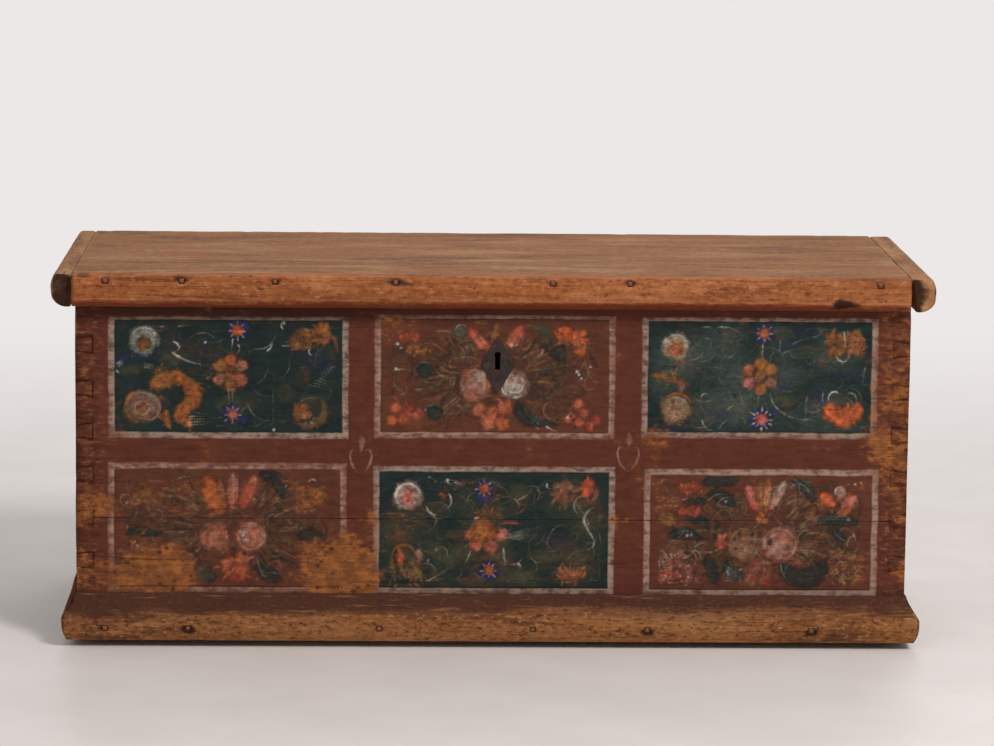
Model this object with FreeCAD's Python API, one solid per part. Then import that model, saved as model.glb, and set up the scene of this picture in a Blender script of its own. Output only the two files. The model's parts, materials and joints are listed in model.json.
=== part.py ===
import FreeCAD, Part
import os

# A painted pine blanket chest. Millimetres, X along the chest, front towards -Y, Z up.
# The origin is on the floor, under the middle of the whole chest.

# Case
case_width = 1180.0
case_depth = 500.0
case_height = 470.0
wall_thickness = 24.0
seam_gap = 0.3

# Dovetails: pins on the end planks, tails on the front and back planks
top_tail_height = 78.0
tail_pitch = 61.7
pin_tip_width = 17.0
pin_slope = 0.15
dovetail_gap = 0.1
front_seam_pin = 4
end_seam_tail = 2.5
back_seam_tail = 3.5

# Bottom and runners
bottom_thickness = 20.0
bottom_plank_names = ("front", "middle", "rear")
runner_height = 19.0
runner_width = 70.0
runner_end_distance = 190.0
runner_setback = 40.0
runner_chamfer = 8.0

# Plinth mouldings
plinth_lift = 10.0
plinth_thickness = 20.0
plinth_foot = 13.0
plinth_nose_height = 27.0
plinth_nose_top = 37.0
plinth_hollow_foot = 18.5
plinth_top_edge = 2.0
plinth_belly = 2.0
plinth_nose_round = 1.0
plinth_hollow = 1.5
plinth_mitre_gap = 0.3
front_plinth_height = 67.0
left_plinth_height = 89.0
right_plinth_height = 67.0

# Lid
lid_thickness = 26.0
lid_seat_gap = 0.3
lid_front_plank_width = 150.0
lip_height = 48.0
lip_thickness = 30.0
lip_gap = 2.0
cleat_gap = 3.0
cleat_setback = 12.0
right_cleat_lean = 6.5
edge_flat = 23.0
edge_nose_drop = 20.0
edge_chin_drop = 35.0
edge_chin_setback = 1.5
edge_foot = 6.0
edge_shoulder_round = 1.8
edge_chin_round = 3.5

# Strap hinges
hinge_distance = 330.0
strap_thickness = 3.0
strap_root_width = 34.0
strap_neck_width = 17.0
strap_leaf_length = 52.0
strap_leaf_swell = 10.0
lid_strap_end_distance = 108.0
back_strap_length = 250.0
knuckle_radius = 6.2
knuckle_gap = 0.3
knuckle_side_gap = 0.4
middle_knuckle_width = 12.0
tongue_length = 7.6
strap_curl = 1.5
strap_notch_gap = 0.6
hinge_pin_radius = 3.0
hinge_pin_gap = 0.05
pin_head_radius = 4.4
pin_head_thickness = 1.6

# Keyhole and escutcheon, measured from the key's axis
key_drop = 97.5
key_side = 5.5
keyhole_radius = 5.0
keyhole_eye_height = 9.0
keyhole_slot_width = 7.6
keyhole_slot_depth = 13.0
escutcheon_thickness = 1.6
escutcheon_top = 36.0
escutcheon_bottom = 47.0
escutcheon_shoulder_width = 26.0
escutcheon_shoulder_height = 13.0
escutcheon_shoulder_swell = 1.2
escutcheon_cheek_swell = 7.6
escutcheon_hip_width = 34.0
escutcheon_hip_depth = 17.0
escutcheon_tail_swell = 0.6
escutcheon_tack_margin = 5.5

# Lock
lock_plate_thickness = 2.0
lock_plate_width = 156.0
lock_plate_height = 96.0
lock_plate_top_drop = 32.0
lock_cover_width = 124.0
lock_cover_height = 82.0
lock_cover_depth = 28.0
lock_cover_top_drop = 38.0
lock_cover_wall = 1.6
cover_ear_length = 13.0
cover_ear_height = 16.0
bolt_thickness = 6.0
bolt_height = 10.0
bolt_length = 50.0
bolt_tip_rest = 6.0
bolt_throw = 16.0
bolt_gap = 0.3
talon_width = 8.0
talon_drop = 15.0
talon_staple_gap = 1.0
keeper_width = 5.0
keeper_wall = 2.4
keeper_nose_reach = 4.5
keeper_talon_gap = 2.5
keeper_pitch = 11.5
spring_thickness = 1.2
spring_width = 5.0
spring_rise = 8.0
spring_bow = 2.2
spring_foot = 6.0
spring_tip_reach = 8.0

# Lid staple
staple_bar = 4.0
staple_inner_gap = 9.0
staple_drop = 72.0
staple_distance = 16.0
staple_plate_length = 46.0
staple_plate_width = 30.0
staple_plate_thickness = 3.0
staple_plate_gap = 0.6
staple_slot_side = 4.0
staple_slot_front = 3.0
staple_slot_back = 0.8

# Forged nails, square in section
nail_gap = 0.05
nail_crown = 3.0
board_nail_head = 8.0
board_nail_head_height = 2.2
board_nail_shank = 4.0
strap_nail_head = 9.5
strap_nail_head_height = 2.6
strap_nail_shank = 4.2
lock_nail_head = 7.0
lock_nail_head_height = 2.0
lock_nail_shank = 3.4
tack_head = 4.6
tack_head_height = 1.3
tack_shank = 2.2
nail_tip = 1.6
moulding_nail_length = 60.0
bottom_nail_length = 40.0
tack_length = 13.0
nail_stop = 4.5
nail_sink = 1.6
cleat_nail_sink = 2.8
lip_nail_sink = 5.0
plinth_nail_sink = 3.0
lip_nail_drop = 9.0
lip_nail_shares = (-0.92, -0.74, -0.52, -0.235, 0.137, 0.32, 0.914)
cleat_nail_count = 3
plinth_nail_height = 19.0
front_plinth_nail_shares = (-0.93, -0.73, -0.27, 0.1, 0.376, 0.773)
side_plinth_nail_count = 3
bottom_edge_nail_count = 5
bottom_end_nail_count = 2
nail_end_margin = 60.0
strap_nail_count = 4
strap_nail_first = 58.0
strap_nail_last = 26.0
lock_nail_margin = 7.0

# Levels and faces that follow from the sizes above
half_case = case_width / 2
case_bottom = runner_height + bottom_thickness
rim = case_bottom + case_height
lid_under = rim + lid_seat_gap
lid_top = lid_under + lid_thickness
half_lid = half_case + cleat_gap
hinge_reach = knuckle_gap + 2 * knuckle_radius
whole_depth = lip_thickness + lip_gap + case_depth + hinge_reach
front_face = -whole_depth / 2 + lip_thickness + lip_gap
back_face = front_face + case_depth
front_inside = front_face + wall_thickness
back_inside = back_face - wall_thickness
lid_front = front_face - lip_gap
hinge_y = back_face + knuckle_gap + knuckle_radius
hinge_z = lid_under - knuckle_radius
lid_strap_length = hinge_y - lid_front - lid_strap_end_distance
key_level = rim - key_drop
bottom_plank_width = case_depth / len(bottom_plank_names)
plate_inside = front_inside + lock_plate_thickness
bolt_y = front_inside + staple_distance
staple_foot = lid_under - staple_drop
staple_plate_front = front_inside + staple_plate_gap
bolt_bottom = staple_foot + staple_bar + staple_inner_gap / 2
bolt_top = bolt_bottom + bolt_height
talon_start = staple_bar / 2 + talon_staple_gap + bolt_throw
talon_end = talon_start + talon_width

vector = FreeCAD.Vector
board_nail = (board_nail_head, board_nail_head_height, board_nail_shank)
strap_nail = (strap_nail_head, strap_nail_head_height, strap_nail_shank)
lock_nail = (lock_nail_head, lock_nail_head_height, lock_nail_shank)
tack = (tack_head, tack_head_height, tack_shank)
nails = {}
nail_holes = []


def box(x0, x1, y0, y1, z0, z1):
    return Part.makeBox(x1 - x0, y1 - y0, z1 - z0, vector(x0, y0, z0))


def outline(steps, place):
    # A step is a point, or a pair of points: the middle and the end of an arc.
    edges = []
    here = steps[0]
    for step in steps[1:] + steps[:1]:
        if isinstance(step[0], tuple):
            middle, end = step
            edges.append(Part.Arc(place(*here), place(*middle), place(*end)).toShape())
        else:
            end = step
            if end != here:
                edges.append(Part.makeLine(place(*here), place(*end)))
        here = end
    return Part.Wire(edges)


def swept(steps, place, sweep):
    solid = Part.Face(outline(steps, place)).extrude(sweep)
    if solid.Volume < 0:
        solid.reverse()
    return solid


def bowed(start, end, rise):
    # An arc step: its middle stands off the chord by rise, to the left of the way from start to end.
    run = end[0] - start[0]
    climb = end[1] - start[1]
    length = (run ** 2 + climb ** 2) ** 0.5
    middle = (
        (start[0] + end[0]) / 2 - climb / length * rise,
        (start[1] + end[1]) / 2 + run / length * rise)
    return (middle, end)


def step_end(step):
    return step[1] if isinstance(step[0], tuple) else step


def mirrored_steps(right_half):
    # An outline from its right-hand half, which starts on the mirror line at x = 0.
    last_x, last_up = step_end(right_half[-1])
    left_half = [(-last_x, last_up)] if last_x else []
    for step, before in zip(reversed(right_half), reversed(right_half[:-1])):
        x, up = step_end(before)
        if isinstance(step[0], tuple):
            middle_x, middle_up = step[0]
            left_half.append(((-middle_x, middle_up), (-x, up)))
        else:
            left_half.append((-x, up))
    return right_half + left_half


def single(shape):
    # Faces that a join has split are merged, unless that spoils the shape, as it can on a rolled eye.
    merged = shape.removeSplitter()
    kept = merged if merged.isValid() else shape
    return kept.Solids[0] if len(kept.Solids) == 1 else kept


def spread(first, last, count):
    return [first + (last - first) * index / (count - 1) for index in range(count)]


def square(width, level):
    half = width / 2
    return [vector(x, y, level) for x, y in ((-half, -half), (half, -half), (half, half), (-half, half))]


def taper(low_width, low, high_width, high):
    # A square block that narrows from one end to the other, all faces flat.
    foot = square(low_width, low)
    head = square(high_width, high)
    rings = [foot, head]
    rings += [[foot[i - 1], foot[i], head[i], head[i - 1]] for i in range(len(foot))]
    block = Part.Solid(Part.Shell([Part.Face(Part.makePolygon(ring + ring[:1])) for ring in rings]))
    if block.Volume < 0:
        block.reverse()
    return block


def drive(node, kind, length, at, out, sink=0.0):
    # A square forged nail with a rose head; out points from the head into the open.
    head_width, head_height, shank_width = kind
    direction = vector(*out)
    placement = FreeCAD.Placement(
        vector(*at) - direction * sink, FreeCAD.Rotation(vector(0, 0, 1), direction))
    head = taper(head_width, 0, nail_crown, head_height)
    nail = head.fuse(taper(nail_tip, -length, shank_width, 0))
    hole = taper(nail_tip + 2 * nail_gap, -length - nail_gap, shank_width + 2 * nail_gap, 0)
    if sink:
        half = head_width / 2 + nail_gap
        hole = hole.fuse(box(-half, half, -half, half, -nail_gap, sink + head_height))
    nail.Placement = placement
    hole.Placement = placement
    nails.setdefault(node, []).append(single(nail))
    nail_holes.append(hole)


def pin_levels():
    levels = [rim]
    level = rim - top_tail_height
    while level > case_bottom + tail_pitch / 2:
        levels.append(level)
        level -= tail_pitch
    return levels + [case_bottom]


def pins(side, near_y, thickness, gap):
    # Dovetail pins of one corner: narrow at the outer face of the end plank, wide at its inner face.
    outer = side * half_case
    inner = side * (half_case - wall_thickness)
    narrow = pin_tip_width / 2 - gap
    wide = narrow + wall_thickness * pin_slope
    solids = []
    for level in pin_levels():
        steps = [(outer, level - narrow), (outer, level + narrow), (inner, level + wide), (inner, level - wide)]
        solids.append(swept(steps, lambda x, z: vector(x, near_y, z), vector(0, thickness, 0)))
    return solids


def tail_wall(near_y):
    wall = box(-half_case, half_case, near_y, near_y + wall_thickness, case_bottom, rim)
    sockets = pins(-1, near_y, wall_thickness, 0) + pins(1, near_y, wall_thickness, 0)
    return wall.cut(sockets)


def pin_wall(side):
    outer = side * half_case
    inner = side * (half_case - wall_thickness)
    low_x, high_x = sorted((outer, inner))
    wall = box(low_x, high_x, front_inside, back_inside, case_bottom, rim)
    corner_pins = pins(side, front_face, wall_thickness, dovetail_gap)
    corner_pins += pins(side, back_inside, wall_thickness, dovetail_gap)
    between_edges = box(low_x, high_x, front_face, back_face, case_bottom, rim)
    return wall.fuse(corner_pins).common(between_edges)


def split_wall(wall, seam_level):
    bounds = wall.BoundBox
    upper = box(bounds.XMin, bounds.XMax, bounds.YMin, bounds.YMax, seam_level + seam_gap / 2, rim)
    lower = box(bounds.XMin, bounds.XMax, bounds.YMin, bounds.YMax, case_bottom, seam_level - seam_gap / 2)
    return single(wall.common(upper)), single(wall.common(lower))


def at_lock(shape):
    # The lock and its plates are drawn round the key's axis, which stands beside the chest's middle.
    moved = shape.copy()
    moved.translate(vector(key_side, 0, 0))
    return moved


def keyhole(near_y, far_y):
    eye_level = key_level + keyhole_eye_height
    half_slot = keyhole_slot_width / 2
    eye = Part.makeCylinder(keyhole_radius, far_y - near_y, vector(0, near_y, eye_level), vector(0, 1, 0))
    slot = box(-half_slot, half_slot, near_y, far_y, key_level - keyhole_slot_depth, eye_level)
    return eye.fuse(slot).removeSplitter()


def case_planks():
    front_seam = rim - top_tail_height - front_seam_pin * tail_pitch
    back_seam = rim - top_tail_height - back_seam_tail * tail_pitch
    end_seam = rim - top_tail_height - end_seam_tail * tail_pitch
    front_upper, front_lower = split_wall(tail_wall(front_face), front_seam)
    back_upper, back_lower = split_wall(tail_wall(back_inside), back_seam)
    notch_half = strap_root_width / 2 + strap_notch_gap
    notch_floor = lid_under - strap_thickness - strap_notch_gap
    notches = [
        box(x - notch_half, x + notch_half, back_inside, back_face, notch_floor, rim)
        for x in (-hinge_distance, hinge_distance)]
    planks = {
        "front_board_upper": front_upper.cut(at_lock(keyhole(front_face, front_inside))),
        "front_board_lower": front_lower,
        "back_board_upper": back_upper.cut(notches),
        "back_board_lower": back_lower,
    }
    for name, side in (("left", -1), ("right", 1)):
        upper, lower = split_wall(pin_wall(side), end_seam)
        planks[name + "_end_upper"] = upper
        planks[name + "_end_lower"] = lower
    return planks


def bottom_planks():
    planks = {}
    for index, name in enumerate(bottom_plank_names):
        near_y = front_face + index * bottom_plank_width
        far_y = near_y + bottom_plank_width
        if name != bottom_plank_names[-1]:
            far_y -= seam_gap
        planks["bottom_board_" + name] = box(-half_case, half_case, near_y, far_y, runner_height, case_bottom)
    return planks


def runner(side):
    middle = side * (half_case - runner_end_distance)
    near_y = front_face + runner_setback
    far_y = back_face - runner_setback
    steps = [
        (near_y + runner_chamfer, 0), (far_y - runner_chamfer, 0),
        (far_y, runner_chamfer), (far_y, runner_height),
        (near_y, runner_height), (near_y, runner_chamfer)]
    start_x = middle - runner_width / 2
    return swept(steps, lambda y, z: vector(start_x, y, z), vector(runner_width, 0, 0))


def plinth_profile(height):
    # Out from the case and up from the moulding's foot: a round nose under a long hollow slope.
    foot = (plinth_foot, 0)
    nose = (plinth_thickness, plinth_nose_height)
    hollow_foot = (plinth_hollow_foot, plinth_nose_top)
    top_edge = (plinth_top_edge, height)
    return [
        (0, 0), foot, bowed(foot, nose, -plinth_belly), bowed(nose, hollow_foot, -plinth_nose_round),
        bowed(hollow_foot, top_edge, plinth_hollow), (0, height)]


def mitre_wedge(side, along_x):
    # What one moulding leaves to the other at a front corner, with a hairline at the mitre.
    reach = 2 * plinth_thickness
    corner_x = half_case - plinth_mitre_gap if along_x else half_case
    outer = (half_case + reach, front_face) if along_x else (half_case, front_face - reach)
    corners = [(corner_x, front_face), outer, (corner_x + reach, front_face - reach)]
    flat = [vector(side * x, y, 0) for x, y in corners]
    tallest = plinth_lift + max(front_plinth_height, left_plinth_height, right_plinth_height)
    return Part.Face(Part.makePolygon(flat + flat[:1])).extrude(vector(0, 0, 2 * tallest))


def plinths():
    front_half = half_case + plinth_thickness
    front = swept(
        plinth_profile(front_plinth_height),
        lambda out, up: vector(-front_half, front_face - out, plinth_lift + up),
        vector(2 * front_half, 0, 0))
    pieces = {"plinth_front": single(front.cut([mitre_wedge(-1, True), mitre_wedge(1, True)]))}
    sides = (("plinth_left", -1, left_plinth_height), ("plinth_right", 1, right_plinth_height))
    for name, side, height in sides:
        moulding = swept(
            plinth_profile(height),
            lambda out, up: vector(side * (half_case + out), front_face - plinth_thickness, plinth_lift + up),
            vector(0, case_depth + plinth_thickness, 0))
        pieces[name] = single(moulding.cut(mitre_wedge(side, False)))
    return pieces


def edge_profile(lean=0):
    # Out from the lid's edge and down from its top: a bull nose that tucks under at the foot.
    # With a lean the moulding's back slants in towards the top.
    shoulder = (edge_flat, 0)
    nose = (lip_thickness, -edge_nose_drop)
    chin = (lip_thickness - edge_chin_setback, -edge_chin_drop)
    foot = (edge_foot, -lip_height)
    return [
        (-lean, 0), shoulder, bowed(shoulder, nose, edge_shoulder_round), chin,
        bowed(chin, foot, edge_chin_round), (0, -lip_height)]


def lid_plank(front, back):
    # The right end leans with the cleat that is nailed to it.
    right_top = half_lid - right_cleat_lean
    right_foot = right_top + right_cleat_lean * lid_thickness / lip_height
    corners = [(-half_lid, lid_top), (right_top, lid_top), (right_foot, lid_under), (-half_lid, lid_under)]
    return swept(corners, lambda x, z: vector(x, front, z), vector(0, back - front, 0))


def lid_pieces():
    seam = lid_front + lid_front_plank_width
    lip = swept(
        edge_profile(), lambda out, up: vector(-half_lid, lid_front - out, lid_top + up),
        vector(2 * half_lid - right_cleat_lean, 0, 0))
    pieces = {
        "lid_plank_front": lid_plank(lid_front, seam - seam_gap),
        "lid_plank_rear": lid_plank(seam, back_face),
        "lid_lip": lip,
    }
    cleat_front = lid_front - lip_thickness + cleat_setback
    for name, side, lean in (("lid_cleat_left", -1, 0), ("lid_cleat_right", 1, right_cleat_lean)):
        pieces[name] = swept(
            edge_profile(lean), lambda out, up: vector(side * (half_lid + out), cleat_front, lid_top + up),
            vector(0, back_face - cleat_front, 0))
    return pieces


def strap_steps(start, length):
    # Half width against distance from the hinge axis: a slow taper, then a pointed leaf.
    tip = (0, length)
    neck = (strap_neck_width / 2, length - strap_leaf_length)
    root = (strap_root_width / 2, start)
    return mirrored_steps([tip, bowed(tip, neck, strap_leaf_swell), root])


def knuckle(start_x, width):
    return Part.makeCylinder(knuckle_radius, width, vector(start_x, hinge_y, hinge_z), vector(1, 0, 0))


def knuckle_bore(start_x, width):
    radius = hinge_pin_radius + hinge_pin_gap
    return Part.makeCylinder(radius, width, vector(start_x, hinge_y, hinge_z), vector(1, 0, 0))


def lid_strap(middle):
    half_middle = middle_knuckle_width / 2
    low = lid_under - strap_thickness
    plate = swept(
        strap_steps(tongue_length, lid_strap_length),
        lambda across, along: vector(middle + across, hinge_y - along, low), vector(0, 0, strap_thickness))
    tongue = box(middle - half_middle, middle + half_middle, hinge_y - tongue_length, hinge_y, low, lid_under)
    eye = knuckle(middle - half_middle, middle_knuckle_width)
    strap = plate.fuse([tongue, eye])
    return single(strap.cut(knuckle_bore(middle - half_middle, middle_knuckle_width)))


def back_strap(middle):
    root = strap_root_width / 2
    plate = swept(
        strap_steps(strap_curl, back_strap_length),
        lambda across, along: vector(middle + across, back_face, hinge_z - along), vector(0, strap_thickness, 0))
    eye = knuckle(middle - root, strap_root_width)
    half_slot = middle_knuckle_width / 2 + knuckle_side_gap
    slot_floor = hinge_z - knuckle_radius - 2 * knuckle_side_gap
    slot = box(
        middle - half_slot, middle + half_slot, back_face, back_face + hinge_reach, slot_floor, lid_under)
    return single(plate.fuse(eye).cut([slot, knuckle_bore(middle - root, strap_root_width)]))


def hinge_pin(middle):
    half = strap_root_width / 2 + knuckle_side_gap
    shaft = Part.makeCylinder(hinge_pin_radius, 2 * half, vector(middle - half, hinge_y, hinge_z), vector(1, 0, 0))
    heads = [
        Part.makeCylinder(pin_head_radius, pin_head_thickness, vector(x, hinge_y, hinge_z), vector(1, 0, 0))
        for x in (middle - half - pin_head_thickness, middle + half)]
    return single(shaft.fuse(heads))


def escutcheon():
    # A leaf-shaped plate: full shoulders under the top point, round cheeks, a long tail.
    top = (0, escutcheon_top)
    shoulder = (escutcheon_shoulder_width / 2, escutcheon_shoulder_height)
    hip = (escutcheon_hip_width / 2, -escutcheon_hip_depth)
    tail = (0, -escutcheon_bottom)
    right_half = [
        top, bowed(top, shoulder, escutcheon_shoulder_swell),
        bowed(shoulder, hip, escutcheon_cheek_swell), bowed(hip, tail, escutcheon_tail_swell)]
    near_y = front_face - escutcheon_thickness
    plate = swept(
        mirrored_steps(right_half), lambda x, up: vector(x, near_y, key_level + up),
        vector(0, escutcheon_thickness, 0))
    return single(plate.cut(keyhole(near_y, front_face)))


def lock_plate():
    half = lock_plate_width / 2
    top = rim - lock_plate_top_drop
    plate = box(-half, half, front_inside, plate_inside, top - lock_plate_height, top)
    return single(plate.cut(keyhole(front_inside, plate_inside)))


def lock_cover():
    half = lock_cover_width / 2
    wall = lock_cover_wall
    top = rim - lock_cover_top_drop
    foot = top - lock_cover_height
    back = plate_inside + lock_cover_depth
    shell = box(-half, half, plate_inside, back, foot, top)
    hollow = box(-half + wall, half - wall, plate_inside, back - wall, foot + wall, top - wall)
    slot_half = staple_bar / 2 + staple_slot_side
    slot_far = bolt_y + staple_inner_gap / 2 + staple_bar + staple_slot_back
    slot = box(-slot_half, slot_half, front_inside + staple_slot_front, slot_far, top - wall, top)
    middle = (top + foot) / 2
    ear_reach = half + cover_ear_length
    ears = [
        box(low, high, plate_inside, plate_inside + wall, middle - cover_ear_height / 2, middle + cover_ear_height / 2)
        for low, high in ((-ear_reach, -half), (half, ear_reach))]
    return single(shell.cut([hollow, slot]).fuse(ears))


def lock_bolt():
    tail = bolt_tip_rest + bolt_length
    near_y = bolt_y - bolt_thickness / 2
    far_y = bolt_y + bolt_thickness / 2
    nose = bolt_height / 4
    steps = [
        (bolt_tip_rest + nose, bolt_bottom),
        (talon_start, bolt_bottom), (talon_start, bolt_bottom - talon_drop),
        (talon_end, bolt_bottom - talon_drop), (talon_end, bolt_bottom),
        (tail, bolt_bottom), (tail, bolt_top),
        (bolt_tip_rest + nose, bolt_top), (bolt_tip_rest, bolt_top - nose), (bolt_tip_rest, bolt_bottom + nose)]
    return swept(steps, lambda x, z: vector(x, near_y, z), vector(0, far_y - near_y, 0))


def bolt_keepers():
    first = talon_end + keeper_talon_gap
    nose_keeper = bolt_tip_rest - bolt_throw + keeper_nose_reach - keeper_width
    window_y = bolt_thickness / 2 + bolt_gap
    keepers = []
    for start in (nose_keeper, first, first + keeper_pitch):
        block = box(
            start, start + keeper_width, plate_inside, bolt_y + window_y + keeper_wall,
            bolt_bottom - bolt_gap - keeper_wall, bolt_top + bolt_gap + keeper_wall)
        window = box(
            start, start + keeper_width, bolt_y - window_y, bolt_y + window_y,
            bolt_bottom - bolt_gap, bolt_top + bolt_gap)
        keepers.append(block.cut(window))
    return Part.makeCompound(keepers)


def bolt_spring():
    # A bowed leaf that bears on the bolt's back; its foot stands on the lock plate.
    tip_x = bolt_tip_rest + spring_tip_reach
    foot_x = bolt_tip_rest + bolt_length - spring_foot
    tip_z = bolt_top + bolt_gap
    foot_z = tip_z + spring_rise
    near_y = bolt_y - spring_width / 2
    tip = (tip_x, tip_z)
    foot = (foot_x, foot_z)
    upper_tip = (tip_x, tip_z + spring_thickness)
    upper_foot = (foot_x, foot_z + spring_thickness)
    steps = [tip, bowed(tip, foot, spring_bow), upper_foot, bowed(upper_foot, upper_tip, -spring_bow)]
    leaf = swept(steps, lambda x, z: vector(x, near_y, z), vector(0, spring_width, 0))
    stand = box(
        foot_x, foot_x + spring_foot, plate_inside, bolt_y + spring_width / 2,
        foot_z - spring_thickness, foot_z + 2 * spring_thickness)
    return single(leaf.fuse(stand))


def lid_staple():
    half_inner = staple_inner_gap / 2
    half_outer = half_inner + staple_bar
    bend = staple_foot + half_outer
    steps = [
        (-half_outer, lid_under), (-half_outer, bend),
        ((0, staple_foot), (half_outer, bend)), (half_outer, lid_under),
        (half_inner, lid_under), (half_inner, bend),
        ((0, staple_foot + staple_bar), (-half_inner, bend)), (-half_inner, lid_under)]
    loop = swept(
        steps, lambda y, z: vector(-staple_bar / 2, bolt_y + y, z), vector(staple_bar, 0, 0))
    half_length = staple_plate_length / 2
    plate = box(
        -half_length, half_length, staple_plate_front, staple_plate_front + staple_plate_width,
        lid_under - staple_plate_thickness, lid_under)
    return single(loop.fuse(plate))


def drive_lid_nails():
    for share in lip_nail_shares:
        at = (share * half_lid, lid_front - lip_thickness, lid_top - lip_nail_drop)
        drive("lip_nails", board_nail, moulding_nail_length, at, (0, -1, 0), lip_nail_sink)
    level = (lid_under + lid_top) / 2
    for y in spread(lid_front + nail_end_margin, back_face - nail_end_margin, cleat_nail_count):
        for side in (-1, 1):
            at = (side * (half_lid + lip_thickness), y, level)
            drive("cleat_nails", board_nail, moulding_nail_length, at, (side, 0, 0), cleat_nail_sink)


def drive_plinth_nails():
    level = plinth_lift + plinth_nail_height
    length = plinth_thickness - plinth_nail_sink + wall_thickness - nail_stop
    for share in front_plinth_nail_shares:
        at = (share * half_case, front_face - plinth_thickness, level)
        drive("plinth_nails", board_nail, length, at, (0, -1, 0), plinth_nail_sink)
    for y in spread(front_face + nail_end_margin, back_face - nail_end_margin, side_plinth_nail_count):
        for side in (-1, 1):
            at = (side * (half_case + plinth_thickness), y, level)
            drive("plinth_nails", board_nail, length, at, (side, 0, 0), plinth_nail_sink)


def drive_bottom_nails():
    # Up through the bottom into the walls, and down from the inside into the runners.
    half_wall = wall_thickness / 2
    edge_span = half_case - 2 * nail_end_margin
    for x in spread(-edge_span, edge_span, bottom_edge_nail_count):
        for y in (front_face + half_wall, back_face - half_wall):
            drive("bottom_nails", board_nail, bottom_nail_length, (x, y, runner_height), (0, 0, -1))
    for y in spread(front_face + case_depth / 4, back_face - case_depth / 4, bottom_end_nail_count):
        for side in (-1, 1):
            at = (side * (half_case - half_wall), y, runner_height)
            drive("bottom_nails", board_nail, bottom_nail_length, at, (0, 0, -1))
    length = bottom_thickness - nail_sink + runner_height - nail_stop
    for index in range(len(bottom_plank_names)):
        for side in (-1, 1):
            y = front_face + (index + 0.5) * bottom_plank_width
            at = (side * (half_case - runner_end_distance), y, case_bottom)
            drive("runner_nails", board_nail, length, at, (0, 0, 1), nail_sink)


def drive_hinge_nails():
    lid_length = strap_thickness + lid_thickness - nail_stop
    back_length = strap_thickness + wall_thickness - nail_stop
    for middle in (-hinge_distance, hinge_distance):
        for along in spread(strap_nail_first, lid_strap_length - strap_nail_last, strap_nail_count):
            at = (middle, hinge_y - along, lid_under - strap_thickness)
            drive("hinge_lid_nails", strap_nail, lid_length, at, (0, 0, -1))
        for along in spread(strap_nail_first, back_strap_length - strap_nail_last, strap_nail_count):
            at = (middle, back_face + strap_thickness, hinge_z - along)
            drive("hinge_back_nails", strap_nail, back_length, at, (0, 1, 0))


def drive_lock_nails():
    plate_top = rim - lock_plate_top_drop
    plate_length = lock_plate_thickness + wall_thickness - nail_stop
    for side in (-1, 1):
        plate_x = key_side + side * (lock_plate_width / 2 - lock_nail_margin)
        for z in (plate_top - lock_nail_margin, plate_top - lock_plate_height + lock_nail_margin):
            drive("lock_nails", lock_nail, plate_length, (plate_x, plate_inside, z), (0, 1, 0))
        ear_x = key_side + side * (lock_cover_width + cover_ear_length) / 2
        ear_z = rim - lock_cover_top_drop - lock_cover_height / 2
        at = (ear_x, plate_inside + lock_cover_wall, ear_z)
        drive("lock_nails", lock_nail, plate_length + lock_cover_wall, at, (0, 1, 0))
    cheek_x = (escutcheon_shoulder_width + escutcheon_hip_width) / 4 + escutcheon_cheek_swell
    side_x = cheek_x - escutcheon_tack_margin
    above = (escutcheon_top + keyhole_eye_height + keyhole_radius) / 2
    below = (keyhole_slot_depth - 2 * escutcheon_bottom) / 3
    for x, up in ((0, above), (0, below), (-side_x, 0), (side_x, 0)):
        at = (key_side + x, front_face - escutcheon_thickness, key_level + up)
        drive("escutcheon_nails", tack, tack_length, at, (0, -1, 0))
    staple_length = staple_plate_thickness + lid_thickness - nail_stop
    for side in (-1, 1):
        x = key_side + side * (staple_plate_length / 2 - lock_nail_margin)
        at = (x, staple_plate_front + staple_plate_width / 2, lid_under - staple_plate_thickness)
        drive("staple_nails", lock_nail, staple_length, at, (0, 0, -1))


def iron_pieces():
    lock = {
        "lock_escutcheon": escutcheon(),
        "lock_plate": lock_plate(),
        "lock_cover": lock_cover(),
        "lock_bolt": lock_bolt(),
        "bolt_keepers": bolt_keepers(),
        "bolt_spring": bolt_spring(),
        "lid_staple": lid_staple(),
    }
    pieces = {name: at_lock(shape) for name, shape in lock.items()}
    for name, middle in (("left", -hinge_distance), ("right", hinge_distance)):
        pieces["hinge_" + name + "_lid_strap"] = lid_strap(middle)
        pieces["hinge_" + name + "_back_strap"] = back_strap(middle)
        pieces["hinge_" + name + "_pin"] = hinge_pin(middle)
    return pieces


def with_nail_holes(shape):
    bounds = shape.BoundBox
    near = [hole for hole in nail_holes if hole.BoundBox.intersect(bounds)]
    return single(shape.cut(near)) if near else shape


drive_lid_nails()
drive_plinth_nails()
drive_bottom_nails()
drive_hinge_nails()
drive_lock_nails()
pieces = {"runner_left": runner(-1), "runner_right": runner(1)}
for group in (case_planks(), bottom_planks(), plinths(), lid_pieces(), iron_pieces()):
    pieces.update(group)

os.makedirs("parts", exist_ok=True)
for name, shape in pieces.items():
    shape = with_nail_holes(shape)
    print(name, len(shape.Solids), round(shape.Volume / 1000, 2), shape.isValid())
    shape.exportStep("parts/" + name + ".step")
for name, solids in nails.items():
    print(name, len(solids), round(sum(solid.Volume for solid in solids) / 1000, 2))
    Part.makeCompound(solids).exportStep("parts/" + name + ".step")
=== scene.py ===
import json
import math
import random

import bmesh
import bpy
import numpy
from mathutils import Matrix, Vector, kdtree, noise

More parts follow.
